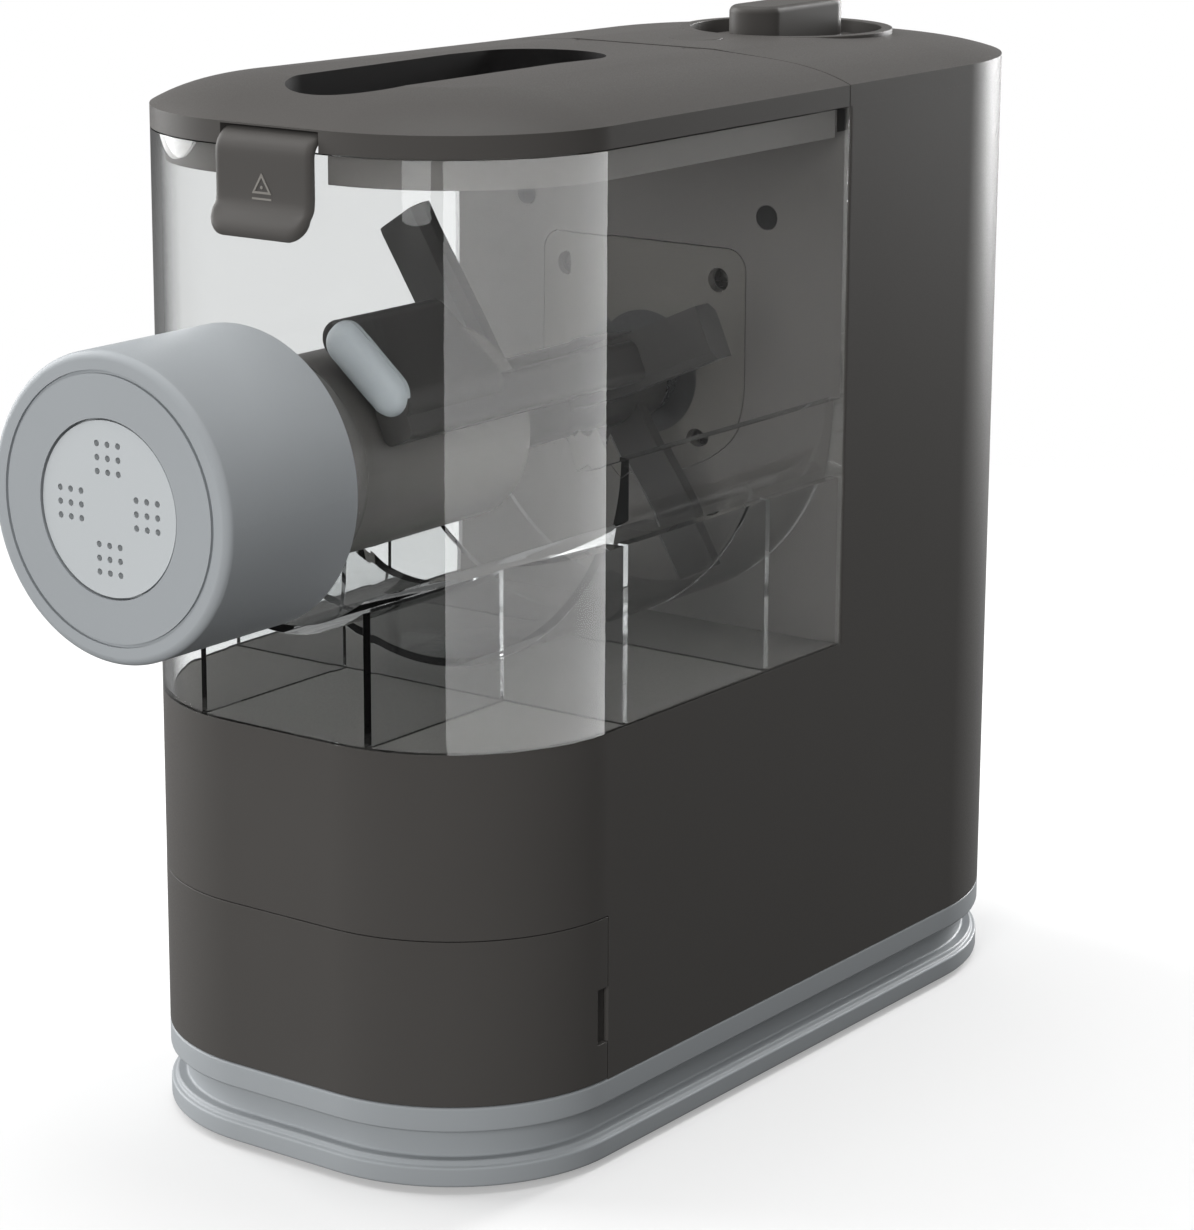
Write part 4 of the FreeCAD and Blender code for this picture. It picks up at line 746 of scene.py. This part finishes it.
def loft(name: str, rings: Sequence[Sequence[Vector]], degrees: float) -> bpy.types.Object:
    """Joins closed rings of equal count with faces and closes both ends.

    Args:
        name: the new piece's name.
        rings: the rings, in order.
        degrees: the least angle of an edge that stays sharp.

    Returns:
        A closed piece with its normals outward.
    """
    shape = bmesh.new()
    grid = [[shape.verts.new(point) for point in ring] for ring in rings]
    count = len(rings[0])
    for low, high in zip(grid, grid[1:]):
        for i in range(count):
            j = (i + 1) % count
            shape.faces.new((low[i], low[j], high[j], high[i]))
    shape.faces.new(grid[0][::-1])
    shape.faces.new(grid[-1])
    thing = object_from(name, shape)
    smooth_by_angle(thing.data, degrees)
    return thing


def eased(points: Sequence[tuple[float, ...]], steps: int) -> list[tuple[float, ...]]:
    """Runs a smooth line through points of any number of values.

    Args:
        points: the points, in order.
        steps: how many parts each stretch between two points gets.

    Returns:
        The points of a Catmull-Rom line, which starts and ends on the given ends.
    """

    def between(p: float, q: float, r: float, w: float, t: float) -> float:
        """Gives the value at share t of the way from q to r, with p before and w after."""
        curve = (2 * p - 5 * q + 4 * r - w) * t * t + (3 * q - p - 3 * r + w) * t**3
        return 0.5 * (2 * q + (r - p) * t + curve)

    line = []
    padded = [points[0], *points, points[-1]]
    for i in range(1, len(padded) - 2):
        four = padded[i - 1 : i + 3]
        for step in range(steps):
            line.append(tuple(between(*values, step / steps) for values in zip(*four)))
    return [*line, tuple(points[-1])]


def islands(node: str) -> list[tuple[Vector, Vector]]:
    """Measures each separate solid of a CAD node.

    Args:
        node: the node's name.

    Returns:
        The low and high corners of each solid.
    """
    shape = bmesh.new()
    shape.from_mesh(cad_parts[node].data)
    bmesh.ops.remove_doubles(shape, verts=shape.verts, dist=MERGE)
    left = set(shape.verts)
    found = []
    for seed in shape.verts:
        if seed not in left:
            continue
        left.remove(seed)
        reach = [seed]
        group = [seed]
        while reach:
            near = {vert for edge in reach.pop().link_edges for vert in edge.verts} & left
            left -= near
            reach.extend(near)
            group.extend(near)
        corners = [[pick(v.co[k] for v in group) for k in range(3)] for pick in (min, max)]
        found.append((Vector(corners[0]), Vector(corners[1])))
    shape.free()
    return found


class NodeGroup(Tree):
    """A geometry node group under construction, with named inputs."""

    def __init__(self, name: str) -> None:
        """Makes an empty group with a geometry input and output."""
        super().__init__(bpy.data.node_groups.new(name, "GeometryNodeTree"))
        for way in ("INPUT", "OUTPUT"):
            self.tree.interface.new_socket("Geometry", in_out=way, socket_type="NodeSocketGeometry")
        self.start = self.tree.nodes.new("NodeGroupInput")
        self.values: dict[str, float] = {}

    def measure(self, name: str, value: float) -> Socket:
        """Adds a named length to the group's inputs.

        Args:
            name: the input's name.
            value: the length in metres.

        Returns:
            The socket that brings the length into the group.
        """
        item = self.tree.interface.new_socket(name, in_out="INPUT", socket_type="NodeSocketFloat")
        item.default_value = value
        self.values[item.identifier] = value
        return self.start.outputs[name]

    def finish(self, geometry: Socket, material: bpy.types.Material) -> None:
        """Realises the instances, sets the material and ends the group."""
        real = self.add("GeometryNodeRealizeInstances", Geometry=geometry)
        painted = self.add("GeometryNodeSetMaterial", Geometry=real.outputs[0], Material=material)
        self.add("NodeGroupOutput", Geometry=painted.outputs[0])

    def grow(self, name: str, points: Iterable[Vector]) -> bpy.types.Object:
        """Runs the group on a cloud of points and keeps the plain mesh.

        Args:
            name: the new piece's name.
            points: where the group's copies go.

        Returns:
            The new piece, with its modifier applied.
        """
        mesh = bpy.data.meshes.new(name)
        mesh.from_pydata([tuple(p) for p in points], [], [])
        thing = new_object(name, mesh)
        modifier = thing.modifiers.new("grow", "NODES")
        modifier.node_group = self.tree
        for identifier, value in self.values.items():
            modifier[identifier] = value
        return baked(thing)


class Facing(Enum):
    """Where a screw's head looks: the axis that it lies along, and its turn from upward."""

    FORWARD = (1, (math.pi / 2, 0.0, 0.0))
    DOWN = (2, (math.pi, 0.0, 0.0))


@dataclass
class Fasteners:
    """Pan-head screws with a cross recess, copied to each place by geometry nodes.

    The recess and the crown are shares of the head's radius.
    """

    shop: Workshop
    recess_width: float = 0.16
    recess_length: float = 0.62
    crown: float = 0.5
    sharp_degrees: float = 35.0

    def make(self) -> None:
        """Makes the wall plate's screws and the base's."""
        self.make_set("wall_screws", "drive_plate_screws", Facing.FORWARD, BLACKED)
        self.make_set("foot_screws", "base_screws", Facing.DOWN, STEEL)

    def make_set(self, name: str, node: str, facing: Facing, finish: Finish) -> None:
        """Makes one set of screws.

        Args:
            name: the new piece's name.
            node: the CAD node whose solids give the places and sizes.
            facing: where the heads look.
            finish: the screws' finish.
        """
        axis, turn = facing.value
        boxes = islands(node)
        low, high = boxes[0]
        group = NodeGroup(name)
        size = group.measure("Radius", (high.x - low.x) / 2)
        deep = group.measure("Length", high[axis] - low[axis])
        crown, wide, long = (
            group.add("ShaderNodeMath", {"operation": "MULTIPLY"}, in_0=size, in_1=share).outputs[0]
            for share in (self.crown, self.recess_width * 2, self.recess_length * 2)
        )
        squeeze = group.add("ShaderNodeCombineXYZ", X=1.0, Y=1.0, Z=self.crown)
        ball = group.add("GeometryNodeMeshUVSphere", Segments=28, Rings=14, Radius=size)
        head = group.add(
            "GeometryNodeTransform", Geometry=ball.outputs["Mesh"], Scale=squeeze.outputs[0]
        )
        lifted = group.add("ShaderNodeCombineXYZ", X=0.0, Y=0.0, Z=crown)
        cutters = []
        for x, y in ((wide, long), (long, wide)):
            bar = group.add("ShaderNodeCombineXYZ", X=x, Y=y, Z=crown)
            block = group.add("GeometryNodeMeshCube", Size=bar.outputs[0])
            cutter = group.add(
                "GeometryNodeTransform",
                Geometry=block.outputs["Mesh"],
                Translation=lifted.outputs[0],
            )
            cutters.append(cutter.outputs[0])
        cut = group.add(
            "GeometryNodeMeshBoolean",
            {"operation": "DIFFERENCE", "solver": "EXACT"},
            in_0=head.outputs[0],
            in_1=cutters,
        )
        centre = group.add("ShaderNodeMath", {"operation": "MULTIPLY"}, in_0=deep, in_1=0.5)
        lift = group.add(
            "ShaderNodeMath", {"operation": "SUBTRACT"}, in_0=centre.outputs[0], in_1=crown
        )
        raise_by = group.add("ShaderNodeCombineXYZ", X=0.0, Y=0.0, Z=lift.outputs[0])
        seated = group.add(
            "GeometryNodeTransform", Geometry=cut.outputs[0], Translation=raise_by.outputs[0]
        )
        turned = group.add("GeometryNodeTransform", Geometry=seated.outputs[0], Rotation=turn)
        copies = group.add(
            "GeometryNodeInstanceOnPoints",
            Points=group.start.outputs["Geometry"],
            Instance=turned.outputs[0],
        )
        group.finish(copies.outputs[0], self.shop.material(finish))
        thing = group.grow(name, [(low + high) / 2 for low, high in boxes])
        smooth_by_angle(thing.data, self.sharp_degrees)
        self.shop.finish_piece(thing, "base", "steel", finish, [node])


@dataclass
class ShapingDisc:
    """The disc that the dough goes through: four square groups of nine holes."""

    shop: Workshop
    front_mm: float = -59.9
    nose_mm: float = 2.6
    flange_mm: float = 4.3
    radius_mm: float = 21.5
    flange_radius_mm: float = 28.0
    hole_mm: float = 0.8
    pitch_mm: float = 3.4
    offset_mm: float = 12.3
    groups: int = 4
    holes_across: int = 3
    weld: float = 10 * MERGE
    sharp_degrees: float = 30.0

    def make(self) -> None:
        """Makes the disc with geometry nodes: circles on a grid of points, filled and thickened."""
        group = NodeGroup("perforated_disc")
        hole = group.measure("Hole Radius", self.hole_mm * MM)
        pitch = group.measure("Hole Pitch", self.pitch_mm * MM)
        offset = group.measure("Group Offset", self.offset_mm * MM)
        across = group.add(
            "ShaderNodeMath",
            {"operation": "MULTIPLY"},
            in_0=pitch,
            in_1=self.holes_across - 1.0,
        )
        grid = group.add(
            "GeometryNodeMeshGrid",
            Size_X=across.outputs[0],
            Size_Y=across.outputs[0],
            Vertices_X=self.holes_across,
            Vertices_Y=self.holes_across,
        )
        around = group.add("GeometryNodeMeshCircle", Vertices=self.groups, Radius=offset)
        spread = group.add(
            "GeometryNodeInstanceOnPoints",
            Points=around.outputs[0],
            Instance=grid.outputs["Mesh"],
        )
        places = group.add("GeometryNodeRealizeInstances", Geometry=spread.outputs[0])
        ring = group.add("GeometryNodeCurvePrimitiveCircle", Resolution=20, Radius=hole)
        rings = group.add(
            "GeometryNodeInstanceOnPoints",
            Points=places.outputs[0],
            Instance=ring.outputs["Curve"],
        )
        holes = group.add("GeometryNodeRealizeInstances", Geometry=rings.outputs[0]).outputs[0]
        nose = self.plate(group, holes, "Nose", self.radius_mm, 0.0, self.nose_mm)
        flange = self.plate(
            group, holes, "Flange", self.flange_radius_mm, self.nose_mm, self.flange_mm
        )
        both = group.add("GeometryNodeJoinGeometry", Geometry=[nose, flange])
        facing = group.add(
            "GeometryNodeTransform", Geometry=both.outputs[0], Rotation=(-math.pi / 2, 0.0, 0.0)
        )
        copies = group.add(
            "GeometryNodeInstanceOnPoints",
            Points=group.start.outputs["Geometry"],
            Instance=facing.outputs[0],
        )
        group.finish(copies.outputs[0], self.shop.material(DISC))
        thing = group.grow("shaping_disc_face", [place(0.0, self.front_mm, AXIS_Z / MM)])
        smooth_by_angle(thing.data, self.sharp_degrees)
        self.shop.finish_piece(thing, "disc", "base_plastic", DISC, ["shaping_disc"])

    def plate(
        self,
        group: NodeGroup,
        holes: Socket,
        label: str,
        radius: float,
        start: float,
        thick: float,
    ) -> Socket:
        """Fills a circle round the holes and thickens it backward.

        Args:
            group: the group that takes the nodes.
            holes: the holes' circles.
            label: what the plate's inputs are called.
            radius: the circle's radius in millimetres.
            start: how far behind the disc's front the plate starts.
            thick: how thick it is.

        Returns:
            The plate.
        """
        reach = group.measure(f"{label} Radius", radius * MM)
        deep = group.measure(f"{label} Thickness", thick * MM)
        rim = group.add("GeometryNodeCurvePrimitiveCircle", Resolution=120, Radius=reach)
        lines = group.add("GeometryNodeJoinGeometry", Geometry=[rim.outputs["Curve"], holes])
        face = group.add("GeometryNodeFillCurve", Curve=lines.outputs[0])
        walls = group.add(
            "GeometryNodeExtrudeMesh",
            {"mode": "FACES"},
            Mesh=face.outputs[0],
            Offset_Scale=deep,
            Individual=False,
        )
        back = group.add("GeometryNodeFlipFaces", Mesh=face.outputs[0])
        solid = group.add(
            "GeometryNodeJoinGeometry", Geometry=[walls.outputs["Mesh"], back.outputs[0]]
        )
        welded = group.add(
            "GeometryNodeMergeByDistance", Geometry=solid.outputs[0], Distance=self.weld
        )
        moved = group.add(
            "GeometryNodeTransform",
            Geometry=welded.outputs[0],
            Translation=(0.0, 0.0, start * MM),
        )
        return moved.outputs[0]


@dataclass
class Hopper:
    """The clear chamber, with moulded rounds on its edges."""

    shop: Workshop
    round_mm: float = 0.45

    def make(self) -> bpy.types.Object:
        """Makes the clear chamber from its node and gives it."""
        thing = softened("clear_chamber", "mixing_chamber", self.round_mm, segments=2)
        return self.shop.finish_piece(thing, "chamber", "clear_plastic", CLEAR, ["mixing_chamber"])


@dataclass
class Catch:
    """The lid's catch: a bent plate with a flared lip and a small raised open mark.

    The middle line holds depth, height and half thickness, and each of the edges how far in
    from the side it lies and its share of the full thickness, all in millimetres.
    """

    shop: Workshop
    half_width: float = 15.5
    corner: float = 5.0
    fold_z: float = 253.0
    middle_y: float = -1.6
    least_drop: float = 0.35
    line: tuple[Point3, ...] = (
        (3.5, 269.7, 1.0), (2.6, 269.95, 1.1), (1.6, 269.75, 1.1), (0.5, 268.95, 1.15),
        (-0.6, 267.9, 1.25), (-1.3, 266.6, 1.3), (-1.6, 265.0, 1.3), (-1.6, 261.0, 1.3),
        (-1.6, 255.0, 1.3), (-1.9, 252.6, 1.3), (-2.9, 250.5, 1.3), (-4.3, 248.7, 1.3),
        (-5.1, 247.2, 1.3), (-5.4, 245.9, 1.2), (-5.5, 245.0, 0.8), (-5.5, 244.7, 0.3),
    )
    line_steps: int = 5
    edges: tuple[Point2, ...] = (
        (0.0, 0.19), (0.25, 0.64), (0.7, 0.88), (1.4, 1.0), (2.2, 1.0), (3.1, 1.0), (4.1, 1.0),
    )
    sharp_degrees: float = 40.0
    mark_y: float = -2.9
    mark_height: float = 0.14
    mark_root: float = 0.2
    triangle: tuple[Point2, ...] = ((0.0, 260.6), (-3.1, 255.4), (3.1, 255.4))
    window: tuple[Point2, ...] = ((0.0, 259.4), (-2.2, 255.95), (2.2, 255.95))
    bar: tuple[Point2, ...] = ((-3.1, 253.9), (3.1, 253.9), (3.1, 254.4), (-3.1, 254.4))
    dot_z: float = 257.0
    dot_radius: float = 0.42
    dot_points: int = 14

    def make(self) -> None:
        """Makes the plate and its mark."""
        line = eased(self.line, self.line_steps)
        left = [(inset - self.half_width, share) for inset, share in self.edges]
        left.append((self.corner - self.half_width, 1.0))
        stations = left + [(-x, share) for x, share in reversed(left)]
        rings = [self.section(line, x, share) for x, share in stations]
        plate = loft("catch_plate", rings, self.sharp_degrees)
        self.shop.finish_piece(plate, "catch", "body_plastic", BODY, ["latch_clip"])
        self.make_mark()

    def section(self, line: Sequence[Point3], x: float, share: float) -> list[Vector]:
        """Gives the plate's outline at one place across.

        Args:
            line: the plate's middle line.
            x: how far right of the middle the place is.
            share: the plate's share of its full thickness there.

        Returns:
            The outline, down the plate's outer side and up its inner side.
        """
        sides: tuple[list[Vector], list[Vector]] = ([], [])
        out = max(abs(x) - (self.half_width - self.corner), 0.0) / self.corner
        drop = self.least_drop + (1 - self.least_drop) * math.sqrt(max(1 - out * out, 0.0))
        bent = []
        for y, z, half in line:
            if z < self.fold_z:
                y = self.middle_y + (y - self.middle_y) * drop
                z = self.fold_z + (z - self.fold_z) * drop
            bent.append((y, z, half * share))
        for i, (y, z, half) in enumerate(bent):
            before, after = bent[max(i - 1, 0)], bent[min(i + 1, len(bent) - 1)]
            run = Vector((after[0] - before[0], after[1] - before[1])).normalized()
            for side, sign in zip(sides, (1, -1)):
                side.append(place(x, y - run.y * half * sign, z + run.x * half * sign))
        return sides[0] + sides[1][::-1]

    def make_mark(self) -> None:
        """Makes the open mark: a hollow triangle with a dot, and a bar under it."""
        shape = bmesh.new()
        outer = self.add_walls(shape, self.triangle)
        inner = self.add_walls(shape, self.window)
        for out, hole in zip(outer, inner):
            for i in range(len(out)):
                j = (i + 1) % len(out)
                shape.faces.new((out[i], out[j], hole[j], hole[i]))
        turns = [2 * math.pi * i / self.dot_points for i in range(self.dot_points)]
        radius = self.dot_radius
        dot = [(radius * math.cos(a), self.dot_z + radius * math.sin(a)) for a in turns]
        for loop in (dot, self.bar):
            front, back = self.add_walls(shape, loop)
            shape.faces.new(front)
            shape.faces.new(back[::-1])
        mark = object_from("open_mark", shape)
        self.shop.finish_piece(mark, "catch", "body_plastic", MARK, [])

    def add_walls(
        self, shape: bmesh.types.BMesh, loop: Sequence[Point2]
    ) -> list[list[bmesh.types.BMVert]]:
        """Adds the walls of a flat loop that stands a little out of the plate's face.

        Args:
            shape: the shape that takes the walls.
            loop: the loop's points, across and up, in millimetres.

        Returns:
            The points of the walls' front ends and of their back ends.
        """
        depths = (self.mark_y - self.mark_height, self.mark_y + self.mark_root)
        ends = [[shape.verts.new(place(x, y, z)) for x, z in loop] for y in depths]
        for i in range(len(loop)):
            j = (i + 1) % len(loop)
            shape.faces.new((ends[0][i], ends[0][j], ends[1][j], ends[1][i]))
        return ends


@dataclass
class ButtonSpring:
    """The coil under the release button, which shortens as the button goes down."""

    shop: Workshop
    foot_z: float = 0.26622
    travel_mm: float = 2.5

    def make(self) -> None:
        """Makes the coil from its node."""
        thing = new_object("release_coil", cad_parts["button_spring"].data.copy())
        self.shop.finish_piece(thing, "base", "steel", STEEL, ["button_spring"])
        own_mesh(thing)


@dataclass
class PaddleTip:
    """The soft pale end of the paddle's scraper, domed at its front.

    Each step holds how far behind the front it lies and how far in its outline is drawn.
    """

    shop: Workshop
    angle: float = 50.0
    inner_mm: float = 27.7
    outer_mm: float = 39.4
    half_span_mm: float = 14.4
    back_mm: float = 11.4
    steps: tuple[Point2, ...] = ((0.0, 3.4), (0.35, 2.0), (1.2, 0.8), (2.6, 0.15), (4.0, 0.0))
    arc_parts: int = 16
    sharp_degrees: float = 60.0

    def make(self) -> None:
        """Makes the tip from capsule outlines that grow backward."""
        low = min(v.co.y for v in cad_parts["paddle_tip"].data.vertices)
        rings = [self.outline(inset, low + back * MM) for back, inset in self.steps]
        rings.append(self.outline(0.0, FRONT_Y + self.back_mm * MM))
        tip = loft("soft_tip", rings, self.sharp_degrees)
        self.shop.finish_piece(tip, "mixer", "white_plastic", TIP, ["paddle_tip"])

    def outline(self, inset: float, y: float) -> list[Vector]:
        """Gives one capsule outline about the drive axis.

        Args:
            inset: how far in the outline is drawn, in millimetres.
            y: its depth in the row frame, in metres.

        Returns:
            The outline's points.
        """
        half = (self.outer_mm - self.inner_mm) / 2
        middle = (self.outer_mm + self.inner_mm) / 2
        radius = half - inset
        out = Vector((math.cos(math.radians(self.angle)), math.sin(math.radians(self.angle))))
        along = Vector((-out.y, out.x))
        points = []
        for end in (1, -1):
            for i in range(self.arc_parts + 1):
                turn = math.pi * (i / self.arc_parts - 0.5)
                reach = (self.half_span_mm - half + radius * math.cos(turn)) * end
                rise = middle + radius * math.sin(turn) * end
                spot = out * rise * MM + along * reach * MM
                points.append(Vector((spot.x, y, AXIS_Z + spot.y)))
        return points


@dataclass(frozen=True)
class PaintedShadeZone:
    """A room of the lid, in millimetres, whose faces get painted shade: the flat black finish
    stands in for the shade that falls there.
    """

    half_width: float
    front: float
    back: float
    highest_normal: float
    below: float = math.inf

    def holds(self, face: bpy.types.MeshPolygon) -> bool:
        """Tells whether a face lies in the room and looks low enough."""
        x, y, z = face.center / MM
        within = abs(x) < self.half_width and self.front < y - FRONT_Y / MM < self.back
        return within and z < self.below and face.normal.z < self.highest_normal


@dataclass
class Shell:
    """Plinth, housing, drawer and covers: the moulded outside.

    Each piece holds its name, its node, its body and the reach of its rounds in millimetres.
    """

    shop: Workshop
    pieces: tuple[tuple[str, str, str, float], ...] = (
        ("housing_shell", "main_housing", "base", 0.6),
        ("plinth_ring", "base_plinth", "base", 0.8),
        ("drawer_front", "storage_drawer", "drawer", 0.35),
        ("top_cover", "rear_top_cover", "base", 0.3),
        ("lid_shell", "lid", "lid", 0.3),
        ("dial_bowl", "dial_dish", "base", 0.3),
        ("turn_knob", "control_knob", "knob", 0.6),
        ("round_button", "push_button", "button", 0.3),
    )
    # Rooms of the lid whose faces get painted shade in flat black
    pouring_slot: PaintedShadeZone = PaintedShadeZone(21.0, 12.0, 132.0, highest_normal=0.3)
    underside: PaintedShadeZone = PaintedShadeZone(61.0, 6.0, 155.0, highest_normal=-0.5, below=279.0)

    def make(self) -> None:
        """Makes each moulded piece from its node."""
        for name, node, body, width in self.pieces:
            thing = softened(name, node, width)
            if node == "base_plinth":
                finish, slot = BASE, "base_plastic"
            else:
                finish, slot = BODY, "body_plastic"
            self.shop.finish_piece(thing, body, slot, finish, [node])
            # The lid's slot walls and underside get painted shade
            if node == "lid":
                self.paint_throat_shade(thing)

    def paint_throat_shade(self, lid: bpy.types.Object) -> None:
        """Paints shade on the pouring slot's walls and the lid's underside: they take the flat
        black finish in place of the shade that falls there.
        """
        # Painted shade: faces in the slot and under the lid take the flat black finish
        lid.data.materials.append(self.shop.material(INNER_BLACK_AND_SHADE))
        for face in lid.data.polygons:
            if self.pouring_slot.holds(face) or self.underside.holds(face):
                face.material_index = 1


NODE_FINISHES: dict[str, AnyFinish] = {
    "bottom_cover": INNER_BLACK_AND_SHADE,
    "rubber_feet": RUBBER,
    "wall_sensors": INNER_BLACK_AND_SHADE,
    "cord_gland": INNER_BLACK_AND_SHADE,
    "drive_plate": WALL,
    "drawer_bay": INNER_BLACK_AND_SHADE,
    "spare_disc_wide": PALE,
    "spare_disc_narrow": PALE,
    "latch_pin": STEEL,
    "lid_hinge_bar": BODY,
    "cap_ring": BASE,
    "extrusion_tube": TUBE,
    "extrusion_screw": TUBE,
    "mixing_paddle": PADDLE,
    "drive_shaft": STEEL,
    "shaft_seal": RUBBER,
    "front_bearing": STEEL,
    "rear_bearing": STEEL,
    "output_gear": GEAR,
    "idler_gear": GEAR,
    "motor_pinion": STEEL,
    "gear_case_lid": INNER_BLACK_AND_SHADE,
    "gear_case": INNER_BLACK_AND_SHADE,
    "idler_pin": STEEL,
    "motor_can": STEEL,
    "motor_shaft": STEEL,
    "cooling_fan": INNER_BLACK_AND_SHADE,
    "circuit_board": BOARD,
    "board_posts": STEEL,
    "selector_switch": INNER_BLACK_AND_SHADE,
    "release_switch": INNER_BLACK_AND_SHADE,
}


def main() -> None:
    """Builds the studio and every piece, in order."""
    logging.basicConfig(level=logging.INFO, format="%(message)s")
    Camera().make()
    studio = Studio()
    studio.make()
    shop = Workshop()
    Shell(shop).make()
    studio.show_card_to([Hopper(shop).make()])
    Catch(shop).make()
    PaddleTip(shop).make()
    ShapingDisc(shop).make()
    Fasteners(shop).make()
    ButtonSpring(shop).make()
    for name, finish in NODE_FINISHES.items():
        shop.paint_node(name, finish)


if __name__ == "__main__":
    main()
